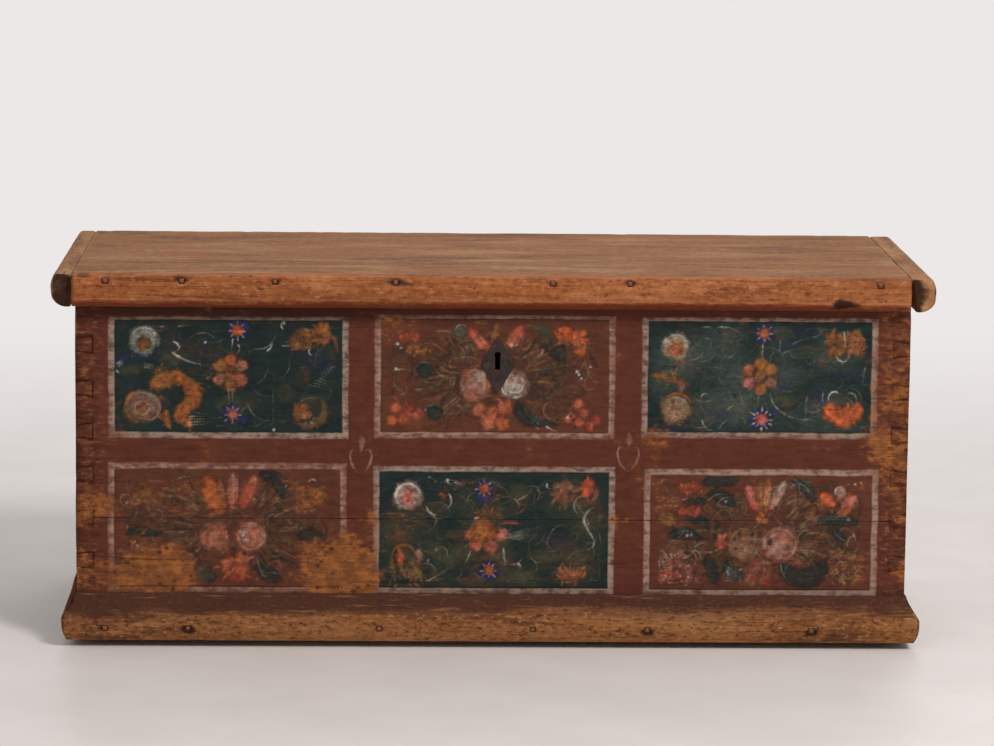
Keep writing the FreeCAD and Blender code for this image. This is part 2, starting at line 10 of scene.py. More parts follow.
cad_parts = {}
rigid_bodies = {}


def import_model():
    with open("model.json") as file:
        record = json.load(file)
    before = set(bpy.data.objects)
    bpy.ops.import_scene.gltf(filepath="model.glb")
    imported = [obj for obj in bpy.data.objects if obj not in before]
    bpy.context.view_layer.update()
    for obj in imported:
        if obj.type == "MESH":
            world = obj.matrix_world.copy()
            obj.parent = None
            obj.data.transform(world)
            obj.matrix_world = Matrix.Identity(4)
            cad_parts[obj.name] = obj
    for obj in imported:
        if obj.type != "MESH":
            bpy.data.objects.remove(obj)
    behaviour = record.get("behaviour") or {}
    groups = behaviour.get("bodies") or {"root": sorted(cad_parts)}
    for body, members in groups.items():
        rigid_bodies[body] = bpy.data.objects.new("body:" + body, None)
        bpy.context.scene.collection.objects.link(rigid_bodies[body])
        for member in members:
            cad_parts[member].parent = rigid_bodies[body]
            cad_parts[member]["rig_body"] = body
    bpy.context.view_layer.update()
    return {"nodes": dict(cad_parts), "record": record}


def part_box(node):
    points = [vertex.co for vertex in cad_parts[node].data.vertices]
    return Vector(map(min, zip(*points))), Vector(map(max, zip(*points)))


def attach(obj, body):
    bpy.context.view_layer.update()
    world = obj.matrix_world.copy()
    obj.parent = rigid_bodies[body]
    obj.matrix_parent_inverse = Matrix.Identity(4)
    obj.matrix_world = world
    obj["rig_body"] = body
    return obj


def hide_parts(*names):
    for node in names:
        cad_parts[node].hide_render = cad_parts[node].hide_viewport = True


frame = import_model()
mm = 0.001
dice = random.Random(1846)


def linear(shares):
    # screen values between 0 and 1, made linear for the shaders
    return numpy.where(shares <= 0.04045, shares / 12.92, ((shares + 0.055) / 1.055) ** 2.4)


def tint(*channels):
    return tuple(linear(numpy.array(channels) / 255).tolist()) + (1.0,)


class Signal:
    # one shader socket; arithmetic on it adds Math nodes
    def __init__(self, look, socket):
        self.look = look
        self.socket = socket

    def math(self, operation, *others):
        return self.look.add("Math", {"operation": operation}, dict(enumerate((self,) + others)))

    def __add__(self, other):
        return self.math("ADD", other)

    def __sub__(self, other):
        return self.math("SUBTRACT", other)

    def __rsub__(self, other):
        return self.look.add("Math", {"operation": "SUBTRACT"}, {0: other, 1: self})

    def __mul__(self, other):
        return self.math("MULTIPLY", other)

    def __abs__(self):
        return self.math("ABSOLUTE")

    def atLeast(self, other):
        return self.math("MAXIMUM", other)

    def atMost(self, other):
        return self.math("MINIMUM", other)

    def rise(self, low, high):
        # 0 below low, 1 above high, smooth between; falls where low is the larger
        settings = {"interpolation_type": "SMOOTHSTEP"}
        return self.look.add("MapRange", settings, {"Value": self, "From Min": low, "From Max": high})

    __radd__ = __add__
    __rmul__ = __mul__


class Look:
    # one material; every node but its output comes out of add()
    def __init__(self, name):
        self.material = bpy.data.materials.new(name)
        self.material.use_nodes = True
        self.tree = self.material.node_tree
        self.tree.nodes.clear()
        self.point = self.add("TexCoord", out="Object")

    def add(self, kind, settings=None, sockets=None, out=0):
        node = self.tree.nodes.new("ShaderNode" + kind)
        for name, value in (settings or {}).items():
            setattr(node, name, value)
        for name, value in (sockets or {}).items():
            socket = self.pick(node.inputs, name)
            if isinstance(value, Signal):
                self.tree.links.new(value.socket, socket)
            else:
                socket.default_value = value
        return Signal(self, self.pick(node.outputs, out))

    def pick(self, sockets, name):
        if isinstance(name, int):
            return sockets[name]
        return next(s for s in sockets if name in (s.identifier, s.name))

    def stretched(self, point, x, y, z):
        return self.add("VectorMath", {"operation": "MULTIPLY"}, {0: point, 1: (x, y, z)})

    def shifted(self, point, x, y, z):
        return self.add("VectorMath", {"operation": "ADD"}, {0: point, 1: (x, y, z)})

    def split(self, point):
        return [self.add("SeparateXYZ", None, {0: point}, axis) for axis in range(3)]

    def cloud(self, point, scale, detail, rough=0.55):
        sockets = {"Vector": point, "Scale": scale, "Detail": detail, "Roughness": rough}
        return self.add("TexNoise", None, sockets)

    def cells(self, point, scale, out="Distance"):
        return self.add("TexVoronoi", None, {"Vector": point, "Scale": scale}, out)

    def blend(self, share, under, over, kind="MIX"):
        settings = {"data_type": "RGBA", "blend_type": kind}
        sockets = {"Factor_Float": share, "A_Color": under, "B_Color": over}
        return self.add("Mix", settings, sockets, "Result_Color")

    def trait(self, name, out="Fac"):
        return self.add("Attribute", {"attribute_name": name}, None, out)

    def close(self, colour, rough, height, depth, **others):
        bump = self.add("Bump", None, {"Height": height, "Distance": depth, "Strength": 1.0})
        sockets = {"Base Color": colour, "Roughness": rough, "Normal": bump}
        return self.show(self.add("BsdfPrincipled", None, sockets | others))

    def show(self, shader):
        output = self.tree.nodes.new("ShaderNodeOutputMaterial")
        self.tree.links.new(shader.socket, output.inputs["Surface"])
        return self.material


# Pine: rings round a pith line, drawn in each board's own grain coordinates

pineTones = {
    "early": tint(166, 110, 66), "late": tint(120, 68, 36), "knot": tint(62, 34, 22),
    "check": tint(40, 24, 18), "ringsPerMetre": 150, "ringWarp": 0.055, "knotSwirl": 0.03,
    "knotAlong": 3.4, "knotAcross": 7.0, "knotSize": 0.16, "knotFree": 0.62,
}


class Pine:
    def __init__(self, look):
        tones = pineTones
        grain = look.trait("grain", "Vector")
        along, across, deep = look.split(grain)
        warp = look.cloud(look.stretched(grain, 1.3, 6, 6), 1.0, 3.0) - 0.5
        spread = look.stretched(grain, tones["knotAlong"], tones["knotAcross"], 0)
        knotDistance = look.cells(spread, 1.0)
        knotLot = look.split(look.cells(spread, 1.0, "Color"))[0]
        hasKnot = knotLot.rise(tones["knotFree"], tones["knotFree"] + 0.04)
        ragged = knotDistance + (look.cloud(grain, 90.0, 2.0) - 0.5) * 0.07
        self.knot = ragged.rise(tones["knotSize"], tones["knotSize"] * 0.45) * hasKnot
        swirl = knotDistance.rise(0.55, 0.0) * hasKnot
        radius = (across * across + deep * deep).math("SQRT")
        radius = radius + warp * tones["ringWarp"] + swirl * tones["knotSwirl"]
        ring = (radius * tones["ringsPerMetre"]).math("FRACT")
        self.late = ring.rise(0.25, 0.85) * ring.rise(1.0, 0.9)
        self.fibre = look.cloud(look.stretched(grain, 14, 420, 420), 1.0, 3.0, 0.6)
        self.streak = look.cloud(look.stretched(grain, 2.2, 55, 55), 1.0, 4.0, 0.6)
        crack = abs(look.cloud(look.stretched(grain, 1.6, 46, 46), 1.0, 2.0) - 0.5).rise(0.012, 0.003)
        self.crack = crack * look.cloud(look.stretched(grain, 2.4, 9, 9), 1.0, 2.0).rise(0.54, 0.62)
        lateShare = self.late * 0.55 + (self.streak - 0.5) * 1.1
        colour = look.blend(lateShare.atLeast(0.0).atMost(1.0), tones["early"], tones["late"])
        colour = look.blend(self.fibre.rise(0.3, 0.62) * 0.3, colour, tones["late"], "MULTIPLY")
        colour = look.blend(self.knot * 0.85, colour, tones["knot"])
        self.colour = look.blend(self.crack * 0.8, colour, tones["check"])
        self.height = self.late * 0.25 + self.fibre * 0.5 - self.crack * 1.4 - self.knot * 0.2


# Painted front: a red-brown frame round six flower panels, worn back to the wood

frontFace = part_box("front_board_upper")[0].y
sideFace = -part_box("left_end_upper")[0].x
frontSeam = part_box("front_board_lower")[1].z

# each ground: in the hollows of the brush marks, on them, and where the paint is thin
groundTones = {
    "rail": (tint(76, 38, 27), tint(88, 46, 33), tint(98, 52, 36)),
    "red": (tint(74, 40, 29), tint(89, 50, 36), tint(102, 58, 40)),
    "green": (tint(22, 33, 32), tint(31, 43, 40), tint(44, 46, 38)),
}
# the dirt tone also paints the shadow under the lip
wearAndShadeTones = {
    "thin": tint(112, 62, 38), "bare": tint(156, 92, 45), "bareDark": tint(92, 51, 31),
    "dirtAndShade": tint(40, 24, 18), "scratch": tint(144, 98, 72),
    "linePink": tint(120, 80, 66), "lineGrey": tint(152, 126, 112),
}
# where each kind of wear, the darkening towards the bottom and the painted shadow under the lip start, and
# where each is full, in metres
wearAndShadeEdges = {
    "corner": (0.546, 0.56), "cornerFace": (4 * mm, 2 * mm), "paintedFace": (2.6 * mm, 1.6 * mm),
    "lowDarkening": (0.1, 0.075), "lipShadow": (0.458, 0.474), "lipShadowAcross": (0.1, -0.3), "arris": (6 * mm, 0.0),
}

panelPaint = {"line": 8.5 * mm, "softEdge": 1.4 * mm, "wobble": 4 * mm, "wobbleScale": 22.0}
# low x, low z, high x, high z in millimetres, how chalky the painted line is and how narrow at the top
panels = {
    "upper_left": {"box": (-543, 299, -205, 473), "ground": "green", "chalk": 0.08, "top": 1.8},
    "upper_middle": {"box": (-168, 301, 172, 477), "ground": "red", "chalk": 0.0, "top": 1.7},
    "upper_right": {"box": (210, 303, 544, 476), "ground": "green", "chalk": 0.02, "top": 1.6},
    "lower_left": {"box": (-544, 77, -207, 264), "ground": "red", "chalk": -0.04, "top": 1.0},
    "lower_middle": {"box": (-169, 77, 174, 261), "ground": "green", "chalk": 0.06, "top": 1.1},
    "lower_right": {"box": (216, 76, 549, 259), "ground": "red", "chalk": 0.1, "top": 1.0},
}

# worn places: middle x, middle z, half width, half height in millimetres, and how far the paint has gone
wornPlaces = [
    (-492, 104, 62, 34, 0.26), (-450, 124, 28, 30, 0.18), (-226, 108, 48, 44, 0.27),
    (-198, 96, 26, 58, 0.15), (-562, 202, 42, 20, 0.2), (572, 425, 34, 62, 0.15),
    (568, 330, 36, 56, 0.13), (570, 270, 44, 36, 0.17), (576, 205, 24, 30, 0.12),
    (-580, 330, 18, 110, 0.07), (-578, 140, 18, 70, 0.04), (-450, 200, 90, 14, 0.07),
    (-276, 212, 60, 22, 0.1), (-470, 228, 50, 22, 0.1), (-130, 92, 40, 22, 0.13),
    (-350, 190, 30, 8, 0.06), (232, 300, 26, 16, 0.14), (-560, 420, 30, 40, 0.06),
    (255, 222, 44, 40, 0.07), (504, 130, 44, 44, 0.09), (-160, 470, 30, 10, 0.06),
    (-520, 300, 60, 10, 0.07), (-168, 150, 8, 80, 0.1), (100, 255, 60, 8, 0.08),
]


def fieldAt(places, across, up):
    # sum of soft round places at points, both in metres
    total = numpy.zeros(len(across))
    for middle, level, halfWidth, halfHeight, amount in places:
        far = numpy.hypot((across / mm - middle) / halfWidth, (up / mm - level) / halfHeight)
        total += amount * numpy.clip(1.5 - far, 0, 1)
    return total


def paintedLook(name, ground, withStrokes=False):
    look = Look(name)
    wood = Pine(look)
    point = look.point
    x, y, z = look.split(point)
    blotch = look.cloud(point, 16.0, 5.0, 0.62)
    flake = look.cloud(look.stretched(point, 0.55, 1, 1), 120.0, 5.0, 0.68)
    mottle = look.cloud(look.stretched(point, 0.7, 1, 1), 64.0, 4.0, 0.7)
    brush = look.cloud(look.stretched(point, 6, 30, 30), 6.0, 4.0, 0.65)

    def groundPaint(kind):
        hollow, main, thin = groundTones[kind]
        paint = look.blend((brush * 0.5 + mottle * 0.5).rise(0.34, 0.62), hollow, main)
        return look.blend(blotch.rise(0.5, 0.72) * 0.5, paint, thin)

    colour = groundPaint("rail" if ground == "front" else ground)
    if ground == "front":
        fills = {"green": groundPaint("green"), "red": groundPaint("red")}
        waves = [look.cloud(place, panelPaint["wobbleScale"], 2.0) - 0.5
                 for place in (point, look.shifted(point, 3, 1, 7))]
        wobbleX = x + waves[0] * panelPaint["wobble"]
        wobbleZ = z + waves[1] * panelPaint["wobble"]
        softEdge, panelLine = panelPaint["softEdge"], panelPaint["line"]
        for panel in panels.values():
            lowX, lowZ, highX, highZ = [edge * mm for edge in panel["box"]]
            inside = (wobbleX - lowX).atMost(highX - wobbleX).atMost(wobbleZ - lowZ)
            inside = inside.atMost((highZ - wobbleZ) * panel["top"])
            filled = inside.rise(-softEdge, softEdge)
            line = filled * inside.rise(panelLine + softEdge, panelLine - softEdge)
            colour = look.blend(filled, colour, fills[panel["ground"]])
            chalk = flake * 0.6 + mottle * 0.4 + inside.rise(0.0, panelLine) * 0.1 + panel["chalk"]
            lineTone = look.blend(chalk.rise(0.44, 0.7), wearAndShadeTones["linePink"], wearAndShadeTones["lineGrey"])
            colour = look.blend(line * (0.46 + flake.rise(0.36, 0.6) * 0.48), colour, lineTone)
    if withStrokes:
        cover = look.trait("cover") * (1.0 - flake.rise(0.5, 0.3) * 0.45)
        stroke = look.trait("strokeTone", "Color")
        stroke = look.blend(brush.rise(0.6, 0.3) * 0.22, stroke, wearAndShadeTones["dirtAndShade"])
        colour = look.blend(cover, colour, stroke)
    colour = look.blend(flake.rise(0.44, 0.3) * 0.3, colour, wearAndShadeTones["dirtAndShade"])
    # both front corners: scratched across the dovetails
    behind = y - frontFace
    corner = abs(x).rise(*wearAndShadeEdges["corner"]) * behind.rise(*wearAndShadeEdges["cornerFace"])
    scratch = look.cloud(look.stretched(point, 70, 70, 210), 1.0, 4.0, 0.7)
    colour = look.blend(corner * scratch.rise(0.54, 0.66) * 0.5, colour, wearAndShadeTones["scratch"])
    colour = look.blend(corner * scratch.rise(0.47, 0.36) * 0.6, colour, wearAndShadeTones["dirtAndShade"])
    # darker towards the bottom, over the plinth, and a painted shadow under the lip, most of it on the left
    colour = look.blend(z.rise(*wearAndShadeEdges["lowDarkening"]) * 0.3, colour, wearAndShadeTones["dirtAndShade"])
    lipShadow = z.rise(*wearAndShadeEdges["lipShadow"]) * x.rise(*wearAndShadeEdges["lipShadowAcross"])
    colour = look.blend(lipShadow * 0.55, colour, wearAndShadeTones["dirtAndShade"])
    amount = blotch * 0.5 + flake * 0.5 + look.trait("wear")
    amount = amount + look.trait("arris").rise(*wearAndShadeEdges["arris"]) * blotch.rise(0.45, 0.6) * 0.1
    colour = look.blend(amount.rise(0.53, 0.68) * 0.4, colour, wearAndShadeTones["thin"])
    pit = look.cells(look.stretched(point, 1, 1, 1.2), 58.0).rise(0.3, 0.14)
    pit = pit * look.cloud(look.shifted(point, 4, 4, 4), 34.0, 2.0).rise(0.46, 0.54)
    speck = look.cells(look.shifted(point, 2, 6, 3), 170.0).rise(0.32, 0.16)
    pit = pit.atLeast(speck * look.cloud(point, 60.0, 2.0).rise(0.44, 0.54) * 0.8)
    bareShare = (flake * 0.4 + mottle * 0.6).rise(0.42, 0.64)
    bare = look.blend(bareShare, wearAndShadeTones["bareDark"], wearAndShadeTones["bare"])
    bare = look.blend(scratch.rise(0.5, 0.64) * (0.1 + corner * 0.4), bare, wearAndShadeTones["bareDark"])
    bare = look.blend(pit * 0.75, look.blend(0.25, bare, wood.colour), wearAndShadeTones["dirtAndShade"])
    worn = amount.rise(0.59, 0.71)
    colour = look.blend(worn * 0.94, colour, bare)
    colour = look.blend(worn * corner * scratch.rise(0.46, 0.36) * 0.7, colour, wearAndShadeTones["dirtAndShade"])
    colour = look.blend(wood.crack * 0.3, colour, wearAndShadeTones["dirtAndShade"])
    # inside, the boards are bare
    outside = behind.rise(*wearAndShadeEdges["paintedFace"])
    outside = outside.atLeast((sideFace - abs(x)).rise(*wearAndShadeEdges["paintedFace"]))
    colour = look.blend(outside, wood.colour, colour)
    rough = 0.6 + worn * 0.14 + (flake - 0.5) * 0.3
    height = wood.height * 0.45 - worn * 0.35 + flake * 0.5
    return look.close(colour, rough, height, 0.4 * mm, **{"Specular IOR Level": 0.09})


# Half-worn pine for the lid, the lip and the plinth, bare pine for the rest

lidTones = {
    "wash": tint(146, 100, 66), "washShare": 0.6, "dark": tint(92, 64, 46), "pale": tint(178, 136, 98),
    "warm": tint(150, 90, 52), "paint": tint(80, 66, 54),
    "flecks": 0.5, "fleckScale": 150.0, "pits": 0.35, "rub": 0.35,
}
lipTones = {
    "wash": tint(139, 76, 41), "washShare": 0.55, "dark": tint(98, 51, 30), "pale": tint(181, 117, 78),
    "warm": tint(160, 84, 42), "paint": tint(112, 50, 33),
    "flecks": 0.75, "fleckScale": 170.0, "pits": 0.8, "rub": 0.5,
}
plinthTones = {
    "wash": tint(128, 82, 46), "washShare": 0.6, "dark": tint(76, 43, 29), "pale": tint(160, 114, 74),
    "warm": tint(130, 73, 38), "paint": tint(62, 34, 26),
    "flecks": 1.0, "fleckScale": 190.0, "pits": 0.9, "rub": 0.55,
    "paintedFrom": 52 * mm, "paintedAbove": 66 * mm, "dimFrom": 36 * mm, "dimAbove": 60 * mm,
}
rawTones = {
    "wash": tint(146, 110, 76), "washShare": 0.45, "dark": tint(98, 72, 52), "pale": tint(172, 138, 100),
    "warm": tint(146, 102, 64), "paint": tint(90, 66, 48),
    "flecks": 0.2, "fleckScale": 150.0, "pits": 0.3, "rub": 0.4,
}


def wornPineLook(name, tones):
    look = Look(name)
    wood = Pine(look)
    grain = look.trait("grain", "Vector")
    blotch = look.cloud(look.stretched(grain, 0.35, 1, 1), 16.0, 5.0, 0.62)
    flake = look.cloud(look.stretched(grain, 0.4, 1, 1), 130.0, 5.0, 0.7)
    fleck = look.shifted(look.stretched(grain, 0.55, 1, 1), 2, 7, 1)
    fleck = look.cloud(fleck, tones["fleckScale"], 5.0, 0.75)
    grime = look.cloud(look.stretched(grain, 6, 34, 34), 1.0, 5.0, 0.68)
    glow = look.cloud(look.shifted(look.stretched(grain, 4, 18, 18), 5, 2, 9), 1.0, 5.0, 0.66)
    scratch = look.cloud(look.stretched(grain, 14, 240, 240), 1.0, 4.0, 0.7)
    # stains, and painted shade at the cleats' front ends
    stainAndShade = look.trait("stainAndShade") + (flake - 0.5) * 0.7
    stainAndShade = stainAndShade.rise(0.22, 0.8) * look.trait("stainAndShade").rise(0.0, 0.1)
    colour = look.blend(tones["washShare"], wood.colour, tones["wash"])
    colour = look.blend(glow.rise(0.5, 0.68) * 0.6, colour, tones["warm"])
    colour = look.blend(grime.rise(0.48, 0.68) * 0.75, colour, tones["dark"])
    colour = look.blend(blotch.rise(0.5, 0.66) * 0.55, colour, tones["pale"])
    colour = look.blend(blotch.rise(0.46, 0.32) * 0.45, colour, tones["dark"])
    kept = look.trait("wear") + blotch * 0.5 + flake * 0.5
    if "paintedAbove" in tones:
        level = look.split(look.point)[2] + (grime - 0.5) * 0.04 + (fleck - 0.5) * 0.05
        kept = kept + level.rise(tones["paintedFrom"], tones["paintedAbove"]) * 0.26
        dim = level.rise(tones["dimFrom"], tones["dimAbove"])
        colour = look.blend(dim * 0.5, colour, tones["dark"])
    kept = kept.rise(0.55, 0.76)
    colour = look.blend(kept * 0.9, colour, tones["paint"])
    pale = fleck.rise(0.53, 0.66) * (1.0 - kept * 0.85)
    colour = look.blend(pale * tones["flecks"], colour, tones["pale"])
    colour = look.blend(fleck.rise(0.47, 0.36) * tones["flecks"], colour, tones["dark"])
    colour = look.blend(scratch.rise(0.58, 0.7) * 0.4, colour, tones["pale"])
    colour = look.blend(scratch.rise(0.42, 0.34) * 0.5, colour, tones["dark"])
    rubbed = look.trait("arris").rise(4 * mm, 0.0) * blotch.rise(0.34, 0.56)
    rubbed = rubbed * (1.0 - stainAndShade) * (1.0 - kept)
    colour = look.blend(rubbed * tones["rub"], colour, tones["pale"])
    pits = flake.rise(0.42, 0.3) * tones["pits"]
    colour = look.blend((pits * 0.8).atLeast(stainAndShade * 0.95), colour, wearAndShadeTones["dirtAndShade"])
    rough = 0.72 + (flake - 0.5) * 0.35
    height = wood.height * 0.7 + flake * 0.5 + fleck * 0.4 - pits * 0.4
    return look.close(colour, rough, height, 0.5 * mm, **{"Specular IOR Level": 0.08})


def ironLook(name, dark, pale, rust, shine):
    look = Look(name)
    point = look.point
    hammer = look.cells(point, 140.0)
    grit = look.cloud(point, 900.0, 5.0, 0.65)
    rustMap = look.cloud(point, 70.0, 5.0, 0.6)
    colour = look.blend(grit.rise(0.35, 0.65), dark, pale)
    colour = look.blend(rustMap.rise(0.5, 0.66) * 0.7, colour, rust)
    rough = 0.55 + rustMap.rise(0.45, 0.65) * 0.25 + (grit - 0.5) * 0.15
    metal = shine - rustMap.rise(0.5, 0.64) * shine
    height = hammer * 0.8 + grit * 0.5 + rustMap * 0.4
    return look.close(colour, rough, height, 0.5 * mm, Metallic=metal)


print("making materials")
looks = {
    "front": paintedLook("painted_front", "front"),
    "side": paintedLook("painted_side", "rail"),
    "lid": wornPineLook("worn_lid", lidTones),
    "lip": wornPineLook("worn_lip", lipTones),
    "plinth": wornPineLook("worn_plinth", plinthTones),
    "raw": wornPineLook("raw_pine", rawTones),
    "iron": ironLook("forged_iron", tint(30, 19, 15), tint(46, 29, 23), tint(64, 34, 24), 0.3),
    "nail": ironLook("rusty_nails", tint(92, 53, 32), tint(126, 76, 45), tint(134, 79, 46), 0.05),
}
strokeLooks = {ground: paintedLook("strokes_on_" + ground, ground, True) for ground in groundTones}


# Old boards: each CAD board is copied, its arrises rounded and rubbed, and given its own grain

boardAge = {
    "merge": 0.01 * mm, "round": 1.2 * mm, "shortest": 60 * mm, "clamped": True, "cornerWear": 40 * mm,
    "flatAngle": math.radians(0.4), "arrisAngle": math.radians(35), "sharpAngle": 0.3, "atArris": 0.1 * mm,
    "wave": 0.1 * mm, "waveScale": 8, "rub": 1.1 * mm, "rubScale": 13, "rubFrom": -0.15,
    "chip": 1.6 * mm, "chipScale": 55, "chipFrom": 0.25,
    "pithAlong": (0, 20), "pithAcross": (-0.09, 0.09), "pithDeep": (0.05, 0.11),
}
cleatAge = {"round": 4 * mm, "shortest": 0, "chip": 4 * mm, "clamped": False}

# stains and knots, and on the lid painted shade at the cleats' front ends: middle x, middle z (y on the
# lid), half width, half height in millimetres, and strength
lipStains = [
    (-577, 533, 12, 4, 0.6), (-545, 527, 9, 6, 0.55), (-439, 529, 12, 6, 0.7), (-308, 527, 10, 5, 0.6),
    (-260, 517, 7, 4, 0.4), (-139, 528, 14, 7, 0.7), (-118, 523, 10, 4, 0.5), (-80, 514, 5, 4, 0.45),
    (81, 527, 11, 6, 0.55), (189, 528, 11, 5, 0.7), (230, 512, 8, 5, 0.4), (485, 499, 13, 9, 0.8),
    (542, 526, 6, 5, 0.7), (505, 500, 14, 5, 0.6), (-20, 500, 22, 3, 0.4), (320, 520, 12, 3, 0.5),
    (-360, 502, 20, 4, 0.35),
]
plinthStains = [
    (-548, 29, 9, 6, 0.6), (-430, 27, 11, 7, 1.0), (-395, 36, 16, 5, 0.5), (-160, 29, 8, 5, 0.6),
    (60, 29, 8, 5, 0.6), (222, 26, 11, 6, 0.9), (456, 26, 11, 6, 0.9), (-510, 40, 20, 6, 0.5),
    (-480, 22, 30, 4, 0.4), (380, 48, 26, 6, 0.4), (-270, 38, 30, 5, 0.4), (520, 44, 30, 8, 0.4),
    (-570, 30, 16, 16, 0.4),
]
lidStainsAndShade = [
    # the first three: dirty end grain at the cleats' front ends, darkened further with painted shade of a
    # recess
    (-607, -262, 16, 5, 1.0), (593, -262, 10, 6, 1.0), (622, -262, 3, 8, 0.6), (0, 262, 900, 4, 0.45),
    (-418, 258, 22, 4, 0.5), (330, 258, 16, 4, 0.45), (-160, 200, 30, 8, 0.25), (-240, 140, 26, 6, 0.3),
    (60, 120, 60, 20, 0.22), (330, 150, 30, 10, 0.25), (410, 140, 16, 8, 0.3), (150, 240, 50, 8, 0.35),
    (-30, -190, 14, 8, 0.35), (-330, 60, 80, 16, 0.16), (250, 252, 120, 6, 0.35), (-60, 250, 160, 6, 0.25),
    (560, 60, 10, 8, 0.4),
]
# paint left over, in the same way: red on the lip's foot, brown on the plinth and on the lid's rear edge
lipKept = [
    (0, 487, 700, 13, 0.27), (-300, 490, 120, 6, 0.05), (330, 492, 160, 8, 0.06), (-560, 500, 40, 30, 0.06),
]
plinthKept = [
    (-330, 66, 300, 14, 0.16), (-470, 50, 200, 9, 0.1), (60, 70, 560, 7, 0.12), (-570, 60, 60, 30, 0.12),
    (420, 40, 150, 14, 0.04),
]
lidKept = [(0, 268, 700, 16, 0.12), (-520, 60, 90, 160, 0.05), (-600, -100, 30, 200, 0.05)]

# grain axes: along, across and through the board
lengthwiseWall = (0, 2, 1)
lengthwiseFlat = (0, 1, 2)
crosswiseWall = (1, 2, 0)
crosswiseFlat = (1, 0, 2)
rawBoard = {"look": "raw", "slot": "raw_pine", "cells": (16, 20), "wear": [], "stainAndShade": [], "up": 2}
paintedFront = rawBoard | {"look": "front", "slot": "painted_pine", "cells": (14, 12), "wear": wornPlaces}
paintedEnd = paintedFront | {"look": "side"}
wornBoard = rawBoard | {"slot": "worn_pine", "cells": (6, 6)}
plinthBoard = wornBoard | {"look": "plinth", "wear": plinthKept, "stainAndShade": plinthStains}
lipBoard = wornBoard | {"look": "lip", "wear": lipKept, "stainAndShade": lipStains}
lidBoard = wornBoard | {"look": "lid", "cells": (10, 8), "wear": lidKept, "stainAndShade": lidStainsAndShade, "up": 1}
cleatBoard = lidBoard | {"cells": (8, 6), "age": cleatAge}
boards = [
    (lengthwiseWall, paintedFront, ("front_board_upper", "front_board_lower")),
    (crosswiseWall, paintedEnd, ("left_end_upper", "left_end_lower", "right_end_upper", "right_end_lower")),
    (lengthwiseWall, rawBoard, ("back_board_upper", "back_board_lower")),
    (lengthwiseFlat, rawBoard, ("bottom_board_front", "bottom_board_middle", "bottom_board_rear")),
    (crosswiseFlat, rawBoard, ("runner_left", "runner_right")),
    (lengthwiseWall, plinthBoard, ("plinth_front",)),
    (crosswiseWall, plinthBoard, ("plinth_left", "plinth_right")),
    (lengthwiseFlat, lidBoard, ("lid_plank_front", "lid_plank_rear")),
    (lengthwiseWall, lipBoard, ("lid_lip",)),
    (crosswiseWall, cleatBoard, ("lid_cleat_left", "lid_cleat_right")),
]
grainFrames = {}


def cutRows(mesh, axis, low, high, step):
    normal = [0, 0, 0]
    normal[axis] = 1
    rows = max(1, round((high - low) / step))
    for row in range(1, rows):
        place = [0, 0, 0]
        place[axis] = low + (high - low) * row / rows
        everything = mesh.verts[:] + mesh.edges[:] + mesh.faces[:]
        bmesh.ops.bisect_plane(mesh, geom=everything, dist=1e-6, plane_co=place, plane_no=normal)


def grainAt(node, place):
    axes, start = grainFrames[node]
    moved = [place[axis] for axis in axes]
    return Vector(moved) + start


def finishedPiece(name, mesh, material, body):
    data = bpy.data.meshes.new(name)
    mesh.to_mesh(data)
    mesh.free()
    data.materials.append(material)
    piece = bpy.data.objects.new(name, data)
    bpy.context.scene.collection.objects.link(piece)
    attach(piece, body)
    return piece


